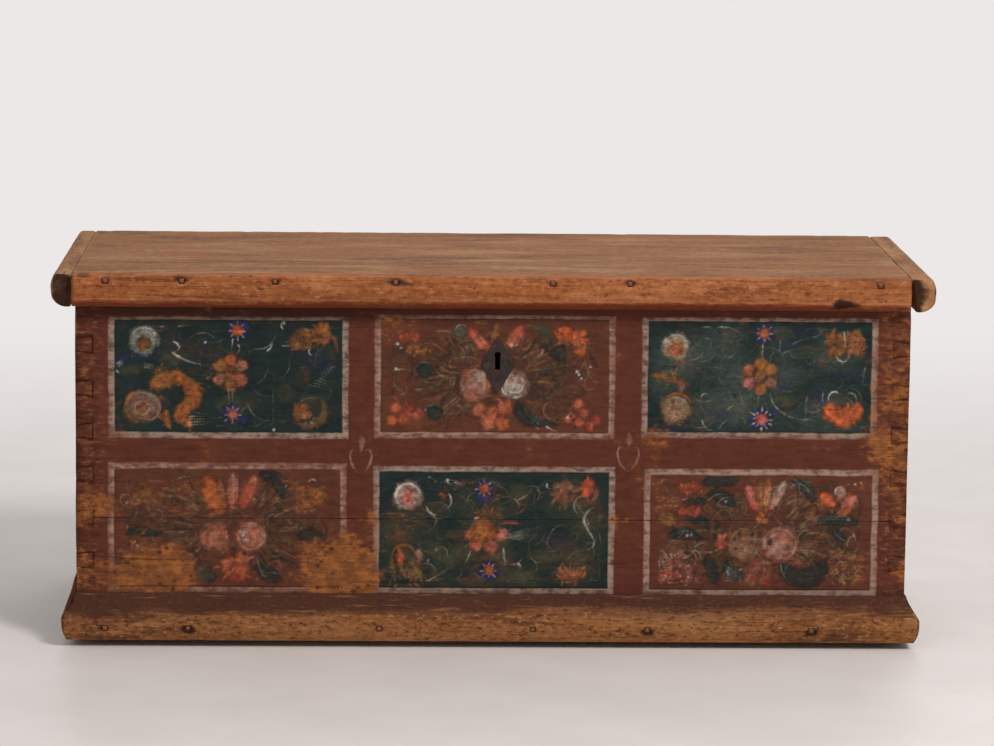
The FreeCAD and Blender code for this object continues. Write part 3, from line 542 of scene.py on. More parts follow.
def oldBoard(node, axes, kind):
    age = boardAge | kind.get("age", {})
    low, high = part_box(node)
    mesh = bmesh.new()
    mesh.from_mesh(frame["nodes"][node].data)
    bmesh.ops.remove_doubles(mesh, verts=mesh.verts, dist=age["merge"])
    bmesh.ops.recalc_face_normals(mesh, faces=mesh.faces)
    bmesh.ops.dissolve_limit(mesh, angle_limit=age["flatAngle"], verts=mesh.verts, edges=mesh.edges)
    arrises = [e for e in mesh.edges if len(e.link_faces) == 2 and e.is_convex
               and e.calc_face_angle() > age["arrisAngle"] and e.calc_length() > age["shortest"]]
    bmesh.ops.bevel(mesh, geom=arrises, offset=age["round"], offset_type="OFFSET", affect="EDGES",
                    segments=2, profile=0.5, material=-1, clamp_overlap=age["clamped"])
    for axis, step in zip(axes, kind["cells"]):
        cutRows(mesh, axis, low[axis], high[axis], step * mm)
    mesh.normal_update()
    sharp = [v for v in mesh.verts
             if any(e.is_manifold and e.calc_face_angle() > age["sharpAngle"] for e in v.link_edges)]
    tree = kdtree.KDTree(len(sharp))
    for index, v in enumerate(sharp):
        tree.insert(v.co, index)
    tree.balance()
    # the board is sawn off the pith, in front of it or behind
    along, across = dice.uniform(*age["pithAlong"]), dice.uniform(*age["pithAcross"])
    deep = dice.choice((-1, 1)) * dice.uniform(*age["pithDeep"])
    pith = Vector((along, across, deep))
    middle = (low + high) / 2
    grainFrames[node] = (axes, pith - Vector([middle[axis] for axis in axes]))
    grain = mesh.verts.layers.float_vector.new("grain")
    arris = mesh.verts.layers.float.new("arris")
    wear = mesh.verts.layers.float.new("wear")
    stainAndShade = mesh.verts.layers.float.new("stainAndShade")
    places = numpy.array([v.co for v in mesh.verts])
    wearField = fieldAt(kind["wear"], places[:, 0], places[:, kind["up"]])
    if kind is paintedEnd:
        wearField *= numpy.clip(1 - (places[:, 1] - frontFace) / age["cornerWear"], 0, 1)
    stainField = fieldAt(kind["stainAndShade"], places[:, 0], places[:, kind["up"]])
    for v, worn, stained in zip(mesh.verts, wearField, stainField):
        v[grain] = grainAt(node, v.co)
        v[arris] = tree.find(v.co)[2]
        v[wear] = worn
        v[stainAndShade] = min(1.0, stained)
    for v in mesh.verts:
        inward = age["wave"] * (0.5 + 0.5 * noise.noise(v.co * age["waveScale"]))
        if v[arris] < age["atArris"]:
            inward += age["rub"] * max(0.0, noise.noise(v.co * age["rubScale"]) - age["rubFrom"])
            inward += age["chip"] * max(0.0, noise.noise(v.co * age["chipScale"]) - age["chipFrom"])
        aged = v.co - v.normal * inward
        v.co = [min(max(spot, start), end) for spot, start, end in zip(aged, low, high)]
    for face in mesh.faces:
        face.smooth = True
    body = frame["nodes"][node]["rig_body"]
    piece = finishedPiece("old_" + node, mesh, looks[kind["look"]], body)
    piece.modifiers.new("evenShading", "WEIGHTED_NORMAL").keep_sharp = True
    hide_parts(node)


for axes, kind, nodes in boards:
    for node in nodes:
        oldBoard(node, axes, kind)
print("aged", len(grainFrames), "boards")


# Flowers: brush strokes mixed on a fine grid, which becomes a skin of paint on each panel

flowerTones = {
    "white": (186, 184, 174), "grey": (134, 136, 126), "dimGrey": (88, 96, 88), "cream": (178, 158, 130),
    "orange": (166, 85, 45), "bright": (192, 87, 46), "ochre": (146, 94, 47), "brown": (110, 72, 47),
    "salmon": (182, 100, 74), "pink": (186, 110, 102), "red": (158, 66, 52), "rose": (166, 128, 112),
    "dullRose": (138, 92, 72), "olive": (88, 80, 50), "umber": (66, 46, 36), "leaf": (34, 42, 36),
    "teal": (34, 47, 45), "blue": (56, 58, 122), "night": (34, 38, 70), "tan": (140, 104, 74),
}
# brush marks in millimetres; lift, relief, skin and the stand-off from an arris in metres
canvas = {
    "cell": 1.2, "spacing": 1.6, "rag": 3.8, "fullRagFrom": 9, "mottle": 0.34, "load": (0.84, 1.02),
    "leastSoft": 0.5, "soft": 0.11, "softest": 3.0, "rim": 0.26, "rimDepth": 0.3,
    "lift": 0.05 * mm, "relief": 0.07 * mm, "skin": 0.5 * mm, "fromArris": 1.0,
}
bristles = numpy.random.default_rng(1846)


def leafShape(share):
    return numpy.sin(math.pi * share) ** 0.75


def dabShape(share):
    return numpy.sin(math.pi * share) ** 0.5


def commaShape(share):
    head = numpy.sqrt(numpy.clip(1 - (1 - share / 0.2) ** 2, 0, 1))
    return numpy.where(share < 0.2, head, 1 - 0.85 * (numpy.clip(share - 0.2, 0, 1) / 0.8) ** 0.9)


def softStep(low, high, value):
    share = numpy.clip((value - low) / (high - low), 0, 1)
    return share * share * (3 - 2 * share)


def alongCurve(points, shares):
    # a Bezier curve with the given handles, at all shares at once
    rows = [numpy.array(point, dtype=float)[None, :] + 0 * shares[:, None] for point in points]
    while len(rows) > 1:
        rows = [a + (b - a) * shares[:, None] for a, b in zip(rows, rows[1:])]
    return rows[0]


def aside(x, z, angle, far):
    return (x + far * math.cos(angle), z + far * math.sin(angle))


class Painter:
    # paints one place on the front; x and z in millimetres
    def __init__(self, box):
        lowX, lowZ, highX, highZ = box
        columns = round((highX - lowX) / canvas["cell"])
        rows = round((highZ - lowZ) / canvas["cell"])
        across, up = numpy.linspace(lowX, highX, columns), numpy.linspace(lowZ, highZ, rows)
        self.x, self.z = numpy.meshgrid(across, up)
        self.tone = numpy.zeros(self.x.shape + (3,))
        self.cover = numpy.zeros(self.x.shape)
        self.grit = self.haze(1) * canvas["rag"]
        self.mottle = self.haze(2) * canvas["mottle"]

    def haze(self, reach):
        # smooth noise, mostly within half a unit of nothing
        field = bristles.random(self.x.shape) - 0.5
        for axis in (0, 1):
            field = sum(numpy.roll(field, shift, axis) for shift in range(-reach, reach + 1))
        return field / (4 * field.std())

    def near(self, path, reach):
        # the piece of the canvas within reach of a path
        columns = numpy.searchsorted(self.x[0], (path[:, 0].min() - reach, path[:, 0].max() + reach))
        rows = numpy.searchsorted(self.z[:, 0], (path[:, 1].min() - reach, path[:, 1].max() + reach))
        return slice(*rows), slice(*columns)

    def mix(self, area, amount, paint):
        self.tone[area] = self.tone[area] * (1 - amount[..., None]) + paint * amount[..., None]
        self.cover[area] = self.cover[area] * (1 - amount) + amount

    def lay(self, area, edge, width, opacity, tone, tip, share):
        # one touch of paint: edge is the depth inside its outline, share runs from tone to tip
        soft = min(canvas["softest"], canvas["leastSoft"] + width * canvas["soft"])
        ragged = edge + self.grit[area] * min(1.0, width / canvas["fullRagFrom"])
        start, end = numpy.array(flowerTones[tone]), numpy.array(flowerTones[tip or tone])
        paint = start + (end - start) * share[..., None]
        lit = 1 - canvas["rim"] * softStep(width * canvas["rimDepth"], 0, edge) + self.mottle[area]
        lit *= dice.uniform(*canvas["load"])
        self.mix(area, softStep(-soft, soft, ragged) * opacity, paint * lit[..., None])

    def shade(self, x, z, wide, high, tone, opacity):
        # a broad smudge without an outline
        area = self.near(numpy.array([[x, z]]), max(wide, high) * 1.3)
        far = numpy.hypot((self.x[area] - x) / wide, (self.z[area] - z) / high)
        amount = softStep(1.2, 0.2, far + self.mottle[area] + self.grit[area] * 0.1) * opacity
        self.mix(area, amount, numpy.array(flowerTones[tone]) * (1 + self.mottle[area])[..., None])

    def stroke(self, points, width, tone, tip, opacity, shape=leafShape):
        length = sum(math.dist(a, b) for a, b in zip(points, points[1:]))
        shares = numpy.linspace(0, 1, max(8, round(length / canvas["spacing"])))
        path = alongCurve(points, shares)
        area = self.near(path, width)
        gaps = numpy.hypot(self.x[area][..., None] - path[:, 0], self.z[area][..., None] - path[:, 1])
        if gaps.size:
            share = shares[gaps.argmin(axis=-1)]
            self.lay(area, shape(share) * width / 2 - gaps.min(axis=-1), width, opacity, tone, tip, share)

    def dab(self, points, width, tone, tip, opacity):
        self.stroke(points, width, tone, tip, opacity, dabShape)

    def line(self, points, width, tone="white", tip=None, opacity=0.85):
        self.stroke(points, width, tone, tip, opacity, commaShape)

    def disc(self, x, z, radius, tone, tip=None, opacity=0.92, tall=1.0):
        area = self.near(numpy.array([[x, z]]), radius * max(1, tall) * 1.3)
        right, up = self.x[area] - x, (self.z[area] - z) / tall
        turn = numpy.arctan2(up, right)
        waves = ((3, 0.05), (5, 0.04))
        bumps = sum(height * numpy.sin(count * turn + dice.uniform(0, 6)) for count, height in waves)
        angle = dice.uniform(0, math.tau)
        share = numpy.clip(0.5 + (right * math.cos(angle) + up * math.sin(angle)) / (2 * radius), 0, 1)
        self.lay(area, radius * (1 + bumps) - numpy.hypot(right, up), radius * 2, opacity, tone, tip, share)

    def ring(self, x, z, radius, width, tone, start=0.0, sweep=math.tau, opacity=0.85, tip=None):
        area = self.near(numpy.array([[x, z]]), radius + width)
        right, up = self.x[area] - x, self.z[area] - z
        turned = (numpy.arctan2(up, right) - start) % math.tau / sweep
        share = numpy.clip(turned, 0, 1)
        ends = leafShape(share) if sweep < math.tau else 1.0
        edge = width / 2 * ends - abs(numpy.hypot(right, up) - radius)
        self.lay(area, numpy.where(turned > 1, -radius, edge), width, opacity, tone, tip, share)

    def dots(self, places, radius=2.2, tone="white"):
        for x, z in places:
            self.disc(x, z, radius * dice.uniform(0.8, 1.2), tone)

    def hatch(self, x, z, radius, count, tones, length, width, tall=1.0):
        # short brush marks scattered over a round place
        for index in range(count):
            far, turn = radius * math.sqrt(dice.random()), dice.uniform(0, math.tau)
            start = (x + far * math.cos(turn), z + far * math.sin(turn) * tall)
            heading = dice.uniform(0, math.tau)
            bend = aside(*start, heading, length / 2)
            ends = [start, bend, aside(*bend, heading + dice.uniform(-0.8, 0.8), length / 2)]
            wide = width * dice.uniform(0.7, 1.3)
            self.stroke(ends, wide, dice.choice(tones), dice.choice(tones), 0.7)

    def rosette(self, x, z, radius, rim, ray, core, coreTip, coreSize):
        self.disc(x, z, radius, rim, rim, 0.88)
        for index in range(22):
            angle = math.tau * index / 22 + dice.uniform(-0.1, 0.1)
            ends = [aside(x, z, angle, radius * 0.4), aside(x, z, angle, radius * dice.uniform(0.8, 1.0))]
            self.stroke(ends, radius * 0.11, dice.choice((rim, "dimGrey", ray, ray)), ray, 0.5)
        self.ring(x, z, radius * 0.84, radius * 0.2, ray, dice.uniform(-0.6, 0.2), 2.8, 0.6)
        low = z - radius * 0.26
        self.disc(x, low, radius * coreSize, core, coreTip, 0.95)
        self.hatch(x, low, radius * coreSize * 0.6, 7, (core, coreTip, "brown"), radius * 0.3, 2.2)

    def flower(self, x, z, radius, petals, edge, centre):
        count = len(petals)
        self.disc(x, z, radius * 0.8, "umber", "brown", 0.75)
        for index, petal in enumerate(petals):
            angle = math.pi / 2 + math.tau * index / count + dice.uniform(-0.08, 0.08)
            place = aside(x, z, angle, radius * 0.66)
            self.disc(*place, radius * 0.35, petal, petal, 0.95)
            self.ring(*place, radius * 0.25, 3.4, edge, angle - 1.4, 2.8, 0.75)
            ends = [aside(x, z, angle, radius * 0.4), aside(x, z, angle, radius * 0.8)]
            self.line(ends, 2.2, "brown", petal, 0.6)
        self.disc(x, z, radius * 0.34, petals[0], "brown", 0.85)
        self.hatch(x, z, radius * 0.26, 12, (centre, "leaf", petals[0], "ochre"), radius * 0.26, 2.6)

    def star(self, x, z, radius, core, tip, rays=8):
        self.disc(x + dice.uniform(-3, 3), z + dice.uniform(-3, 3), radius * 0.85, "night", "blue", 0.6)
        for index in range(rays + 4):
            angle = math.tau * index / (rays + 4) + dice.uniform(-0.2, 0.2)
            ends = [aside(x, z, angle, radius * 0.3), aside(x, z, angle, radius * dice.uniform(0.85, 1.15))]
            self.stroke(ends, radius * 0.2, "blue", "night", 0.85)
        for index in range(rays):
            angle = math.tau * index / rays + dice.uniform(-0.12, 0.12)
            ends = [aside(x, z, angle, radius * 0.35), aside(x, z, angle, radius * dice.uniform(0.72, 1.0))]
            self.stroke(ends, radius * 0.15, "pink", "white", 0.8)
        self.disc(x, z, radius * 0.46, core, tip, 0.95)
        self.hatch(x, z, radius * 0.3, 6, (core, tip, "orange"), radius * 0.4, 2.6)

    def blossom(self, x, z, width, height, tones, details):
        # a loose flower of overlapping dabs
        for index in range(9):
            angle = math.tau * index / 9 + dice.uniform(-0.35, 0.35)
            far = dice.uniform(0.2, 0.34)
            place = (x + width * far * math.cos(angle), z + height * far * math.sin(angle))
            size = min(width, height) * dice.uniform(0.2, 0.29)
            self.disc(*place, size, dice.choice(tones), dice.choice(tones), 0.85, dice.uniform(0.7, 1.2))
        self.hatch(x, z, width * 0.4, 16, tones, min(width, height) * 0.4, 4.4, height / width)
        self.hatch(x, z, width * 0.32, 6, details, min(width, height) * 0.3, 2.0, height / width)

    def petal(self, points, width, tone, edge, tip):
        self.dab(points, width, tone, tip, 0.9)
        (x0, z0), (x1, z1) = points[0], points[-1]
        for lean in (-0.3, 0.05, 0.32):
            moved = [(px + lean * width, pz) for px, pz in points]
            self.stroke(moved, 2.6, edge, tone, 0.65)
        self.hatch((x0 + x1) / 2, (z0 + z1) / 2, width * 0.4, 5, (tone, edge, "brown"), 8, 2.4, 1.6)

    def rose(self, x, z, radius, ground, pale, shade):
        self.disc(x, z, radius * 1.04, shade, ground, 0.85)
        self.disc(x, z, radius * 0.92, ground, pale, 0.75)
        for share, count in ((0.86, 9), (0.62, 8), (0.4, 6), (0.2, 3)):
            for index in range(count):
                start = math.tau * index / count + dice.uniform(-0.3, 0.3)
                tone = pale if dice.random() < 0.55 else dice.choice((ground, shade))
                far = radius * share * dice.uniform(0.92, 1.06)
                self.ring(x, z, far, radius * 0.16, tone, start, 1.1, 0.6)
        self.hatch(x, z, radius * 0.75, 16, (pale, ground, pale, shade), radius * 0.36, 2.2)

    def blade(self, points, width, tone, vein):
        self.dab(points, width, tone, "teal", 0.88)
        moved = [(x + width * 0.34, z + width * 0.2) for x, z in points]
        self.stroke(moved, 2.0, vein, tone, 0.55)
        self.stroke(points, 1.8, vein, "teal", 0.5)
        x, z = points[len(points) // 2]
        self.hatch(x, z, width * 0.5, 5, (tone, "umber", vein), width * 0.6, 2.0)

    def feathers(self, x, z, start, sweep, count, near, far, tones):
        for index in range(count):
            angle = start + sweep * (index + dice.uniform(-0.4, 0.4)) / max(1, count - 1)
            inner = aside(x, z, angle, near * dice.uniform(0.9, 1.5))
            outer = aside(x, z, angle + dice.uniform(-0.14, 0.14), far * dice.uniform(0.6, 1.08))
            bend = aside(x, z, angle + dice.uniform(-0.3, 0.3), (near + far) / 2)
            wide = dice.uniform(1.8, 4.4)
            self.stroke([inner, bend, outer], wide, dice.choice(tones), dice.choice(tones), 0.7)

    def berries(self, places, radius, tones):
        for x, z in places:
            self.disc(x, z, radius * dice.uniform(0.85, 1.15), dice.choice(tones), dice.choice(tones), 0.85)
            self.ring(x, z, radius * 0.55, 1.8, "pink", dice.uniform(0, 6), 2.6, 0.6)
            self.hatch(x, z, radius * 0.6, 3, tones, radius * 0.7, 2.0)

    def curls(self, box, count, tones, width, opacity):
        # faint tendrils that fill the ground
        lowX, lowZ, highX, highZ = box
        for index in range(count):
            points = [(dice.uniform(lowX, highX), dice.uniform(lowZ, highZ))]
            angle, turn = dice.uniform(0, math.tau), dice.choice((-1, 1)) * dice.uniform(0.5, 1.2)
            for step in range(4):
                angle += turn
                x, z = aside(*points[-1], angle, dice.uniform(8, 18))
                points.append((min(highX, max(lowX, x)), min(highZ, max(lowZ, z))))
            tone, tip = dice.choice(tones), dice.choice(tones)
            self.stroke(points, dice.uniform(0.7, 1.3) * width, tone, tip, opacity)

    def smears(self, box, count, tones, length, width, opacity):
        # broad thin patches, as where the ground was laid unevenly
        lowX, lowZ, highX, highZ = box
        for index in range(count):
            place = dice.uniform(lowX, highX), dice.uniform(lowZ, highZ)
            sides = length * dice.uniform(0.4, 1), width * dice.uniform(0.5, 1.4)
            self.shade(*place, *sides, dice.choice(tones), opacity)

    def finish(self, name, ground, keyhole=None):
        # a skin for each board that the painted place lies on
        levels = self.z[:, 0]
        upper = numpy.flatnonzero(levels > frontSeam / mm)
        lower = numpy.flatnonzero(levels < frontSeam / mm)
        for end, found in (("_upper", upper), ("_lower", lower)):
            if len(found):
                rows = slice(found[0], found[-1] + 1)
                self.skin(name + end, ground, "front_board" + end, rows, keyhole)

    def skin(self, name, ground, board, rows, keyhole):
        x, z, cover = self.x[rows] * mm, self.z[rows] * mm, self.cover[rows]
        low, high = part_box(board)
        if len(z) < len(self.z):
            # both skins of a panel meet at the seam
            ends = z[[0, -1]]
            outward = numpy.sign(ends - (low.z + high.z) / 2) * canvas["cell"] * mm
            z[[0, -1]] = numpy.clip(ends + outward, low.z, high.z)
        tone = linear(self.tone[rows] / numpy.maximum(cover, 0.01)[..., None] / 255)
        worn = fieldAt(wornPlaces, x.ravel(), z.ravel()).reshape(x.shape)
        mesh = bmesh.new()
        layers = mesh.verts.layers
        grain = layers.float_vector.new("grain")
        arris, wear, coverLayer = [layers.float.new(trait) for trait in ("arris", "wear", "cover")]
        toneLayer = layers.float_color.new("strokeTone")
        down, along = x.shape
        bmesh.ops.create_grid(mesh, x_segments=along - 1, y_segments=down - 1, size=1)
        for v in mesh.verts:
            spot = round((v.co.y + 1) / 2 * (down - 1)), round((v.co.x + 1) / 2 * (along - 1))
            v.co = (x[spot], frontFace - canvas["lift"] - canvas["relief"] * cover[spot], z[spot])
            v[grain] = grainAt(board, v.co)
            v[arris], v[wear], v[coverLayer] = canvas["fromArris"], worn[spot], cover[spot]
            v[toneLayer] = (*tone[spot], 1.0)
        if keyhole:
            middle, radius = Vector(keyhole["middle"]), keyhole["radius"]
            gone = [f for f in mesh.faces if (f.calc_center_median().xz - middle).length < radius]
            bmesh.ops.delete(mesh, geom=gone, context="FACES")
        rim = [e for e in mesh.edges if e.is_boundary]
        sides = bmesh.ops.extrude_edge_only(mesh, edges=rim)["geom"]
        backVerts = [part for part in sides if isinstance(part, bmesh.types.BMVert)]
        backEdges = [part for part in sides if isinstance(part, bmesh.types.BMEdge) and part.is_boundary]
        bmesh.ops.translate(mesh, verts=backVerts, vec=(0, canvas["skin"], 0))
        bmesh.ops.triangle_fill(mesh, edges=backEdges, use_beauty=True, normal=(0, 1, 0))
        bmesh.ops.recalc_face_normals(mesh, faces=mesh.faces)
        for face in mesh.faces:
            face.smooth = True
        finishedPiece(name, mesh, strokeLooks[ground], "case")


def upperLeftFlowers(art):
    art.smears((-520, 315, -225, 455), 26, ("night", "teal", "olive", "umber"), 30, 14, 0.3)
    art.curls((-520, 315, -225, 460), 80, ("dimGrey", "dimGrey", "olive", "brown", "teal"), 1.6, 0.5)
    art.curls((-510, 320, -230, 460), 16, ("grey", "rose", "dimGrey"), 1.5, 0.6)
    art.rosette(-493, 439, 21, "grey", "white", "ochre", "brown", 0.5)
    art.stroke([(-497, 442), (-494, 448), (-492, 436)], 8, "olive", "brown", 0.8)
    art.rosette(-495, 344, 24, "dullRose", "grey", "dullRose", "ochre", 0.4)
    art.ring(-496, 344, 22, 8, "ochre", 1.5, 3.2, 0.8, "brown")
    art.ring(-492, 344, 21, 5, "rose", -1.4, 2.6, 0.6)
    art.ring(-496, 342, 10, 3, "cream", opacity=0.5)
    for points, width in ((((-484, 370), (-466, 390), (-438, 382)), 24),
                          (((-462, 386), (-442, 392), (-430, 372)), 20),
                          (((-438, 384), (-416, 366), (-426, 340)), 26),
                          (((-430, 356), (-438, 338), (-446, 320)), 22),
                          (((-462, 340), (-464, 328), (-456, 314)), 12),
                          (((-440, 326), (-430, 320), (-426, 316)), 14)):
        art.dab(points, width, "ochre", dice.choice(("ochre", "orange")), 0.9)
        art.stroke(points, width * 0.4, "orange", "ochre", 0.6)
        art.hatch(*points[1], width * 0.6, 7, ("ochre", "orange", "brown"), 10, 3.2)
    art.ring(-447, 358, 9, 4, "leaf", opacity=0.8)
    for index in range(4):
        points = [(-432, 330 - 4 * index), (-414, 331 - 4 * index), (-398, 329 - 3 * index)]
        art.line(points, 2.0, "cream", "ochre", 0.75)
    art.flower(-371, 393, 27, ("orange", "ochre", "dullRose", "ochre", "salmon", "dullRose"), "salmon",
               "olive")
    art.star(-362, 453, 16, "bright", "orange")
    art.star(-368, 333, 16, "pink", "salmon")
    art.disc(-353, 325, 8, "blue", "night", 0.8)
    art.line([(-368, 443), (-370, 424)], 2.6, "white", "pink")
    art.line([(-361, 434), (-356, 428), (-362, 420)], 3.0, "white", "grey")
    art.line([(-374, 368), (-373, 348)], 2.2, "cream", "grey")
    art.line([(-369, 368), (-368, 348)], 2.0, "grey")
    art.line([(-453, 438), (-440, 432), (-440, 426), (-452, 421)], 3.4, "white", "grey")
    art.line([(-454, 422), (-432, 406), (-400, 402)], 4.2, "white", "grey")
    points = [(-348, 417), (-340, 436), (-328, 420), (-312, 428), (-308, 450)]
    art.stroke(points, 2.8, "dimGrey", "grey", 0.8)
    art.line([(-320, 424), (-312, 430), (-308, 448)], 3.2, "white", "dimGrey", 0.7)
    art.ring(-294, 461, 6, 3.0, "white", 1.2, 3.4)
    art.line([(-300, 432), (-287, 432)], 2.6, "grey", "white")
    art.line([(-470, 458), (-464, 460), (-460, 452)], 2.6, "grey", "teal")
    art.line([(-446, 459), (-436, 460), (-420, 460)], 2.8, "grey", "brown")
    art.ring(-409, 433, 5, 2.2, "night", opacity=0.8)
    art.dots([(-407, 436), (-310, 312), (-296, 464)], 2.2)
    art.line([(-311, 372), (-312, 340), (-310, 314)], 1.8, "dimGrey", "grey", 0.6)
    art.line([(-348, 352), (-342, 326), (-318, 318), (-304, 330)], 2.2, "grey", "dimGrey", 0.6)
    for index in range(3):
        points = [(-494, 406 - 3 * index), (-480, 404 - 2 * index), (-462, 396 - 2 * index)]
        art.line(points, 2.2, "grey", "olive", 0.7)
    art.hatch(-528, 401, 8, 6, ("grey", "white", "blue"), 10, 3.4)
    art.blossom(-270, 441, 36, 34, ("ochre", "brown", "brown", "umber"), ("olive", "ochre"))
    art.blossom(-244, 448, 34, 32, ("ochre", "orange", "brown"), ("olive", "brown"))
    art.stroke([(-231, 450), (-222, 440), (-220, 426)], 7, "dullRose", "brown", 0.7)
    art.ring(-256, 424, 5, 2.6, "cream", 2.0, 3.0)
    art.dab([(-280, 322), (-250, 308), (-226, 332), (-246, 360)], 13, "brown", "olive", 0.85)
    art.blossom(-272, 338, 24, 26, ("orange", "ochre", "brown"), ("salmon", "brown"))
    art.hatch(-254, 324, 16, 10, ("brown", "ochre", "olive", "grey"), 12, 2.6)
    for index in range(9):
        height = 372 + 3.4 * index
        points = [(-262 + 5 * index, height + 4), (-240, height + 2), (-216, height - 10)]
        art.line(points, 1.8, "grey", "olive", 0.6)


def upperRightFlowers(art):
    art.smears((230, 318, 530, 460), 26, ("night", "teal", "olive", "umber"), 30, 14, 0.3)
    art.smears((235, 320, 525, 455), 44, ("dimGrey",), 44, 30, 0.1)
    art.curls((235, 318, 530, 462), 120, ("dimGrey", "dimGrey", "grey", "olive", "teal"), 1.5, 0.5)
    art.curls((240, 320, 525, 460), 18, ("grey", "rose", "dimGrey"), 1.5, 0.6)
    art.ring(257, 433, 17, 5, "olive", 3.4, 2.6, 0.8)
    art.rosette(257, 435, 19, "cream", "white", "orange", "salmon", 0.52)
    art.ring(257, 432, 11, 3, "ochre", opacity=0.6)
    art.rosette(258, 343, 22, "tan", "cream", "cream", "dullRose", 0.4)
    art.ring(260, 346, 21, 6, "brown", 0.2, 2.2, 0.8, "orange")
    art.hatch(258, 343, 16, 22, ("ochre", "tan", "cream", "dullRose"), 9, 3.0)
    art.dab([(222, 394), (248, 391), (279, 380)], 14, "ochre", "brown", 0.8)
    art.dab([(262, 388), (270, 380), (264, 368)], 11, "brown", "dullRose", 0.8)
    art.hatch(248, 390, 20, 12, ("dullRose", "tan", "brown", "olive"), 14, 2.8, 0.4)
    art.flower(377, 392, 27, ("ochre", "salmon", "pink", "ochre", "dullRose", "ochre"), "tan", "olive")
    art.star(382, 454, 16, "salmon", "orange")
    art.star(381, 331, 18, "red", "pink", 6)
    for index in range(6):
        angle = 0.5 + index * math.tau / 6
        art.line([aside(381, 331, angle, 11), aside(381, 331, angle, 19)], 3.4)
    art.line([(380, 440), (382, 424), (376, 412)], 3.0, "cream", "tan")
    art.line([(376, 366), (375, 350)], 2.2, "grey")
    art.line([(392, 368), (394, 350), (410, 334), (440, 330)], 3.0, "grey", "white")
    art.disc(398, 340, 5, "blue", "night", 0.7)
    art.blossom(484, 438, 32, 38, ("ochre", "orange", "brown"), ("brown", "tan"))
    art.blossom(511, 440, 32, 40, ("orange", "ochre", "tan"), ("brown", "dullRose"))
    art.line([(495, 458), (496, 446), (498, 432)], 4.0, "cream", "white")
    art.ring(496, 426, 12, 3.2, "white", 3.2, 2.0, 0.75)
    art.line([(492, 412), (500, 414), (504, 426)], 3.0, "cream", "grey")
    for x, tall in ((478, 1.2), (496, 0.9), (514, 1.2)):
        art.disc(x, 342, 11, "bright", "orange", 0.92, tall)
    art.disc(496, 330, 17, "orange", "bright", 0.92, 0.7)
    art.hatch(496, 338, 22, 20, ("bright", "orange", "salmon", "red"), 12, 4.0, 0.6)
    art.stroke([(490, 356), (496, 344), (502, 356)], 5, "leaf", "brown", 0.8)
    art.ring(484, 362, 9, 3.4, "white", 0.6, 3.2)
    art.ring(506, 360, 9, 2.8, "grey", -0.4, 2.6)
    for points in (((294, 462), (308, 466), (318, 450)), ((296, 446), (312, 450), (310, 428), (296, 424)),
                   ((310, 406), (330, 400), (354, 402)), ((294, 362), (300, 374), (310, 360)),
                   ((296, 330), (300, 310), (318, 316)), ((320, 314), (326, 334), (346, 330)),
                   ((330, 342), (338, 354), (350, 348)), ((420, 438), (436, 446), (448, 448)),
                   ((408, 424), (420, 434), (438, 430)), ((446, 366), (438, 344), (448, 328)),
                   ((440, 330), (454, 334), (458, 326)), ((528, 408), (520, 396), (530, 386)),
                   ((316, 462), (342, 466), (356, 444)), ((348, 372), (356, 352), (348, 338)),
                   ((468, 372), (464, 356), (472, 350)), ((406, 446), (402, 430), (408, 416))):
        art.line(points, dice.uniform(1.8, 3.2), dice.choice(("white", "grey", "grey")), "dimGrey", 0.7)
    for index in range(7):
        height = 370 + 7 * index
        art.line([(400, 386 + index), (436, height), (472, height - 4)], 1.8, "dimGrey", "olive", 0.55)


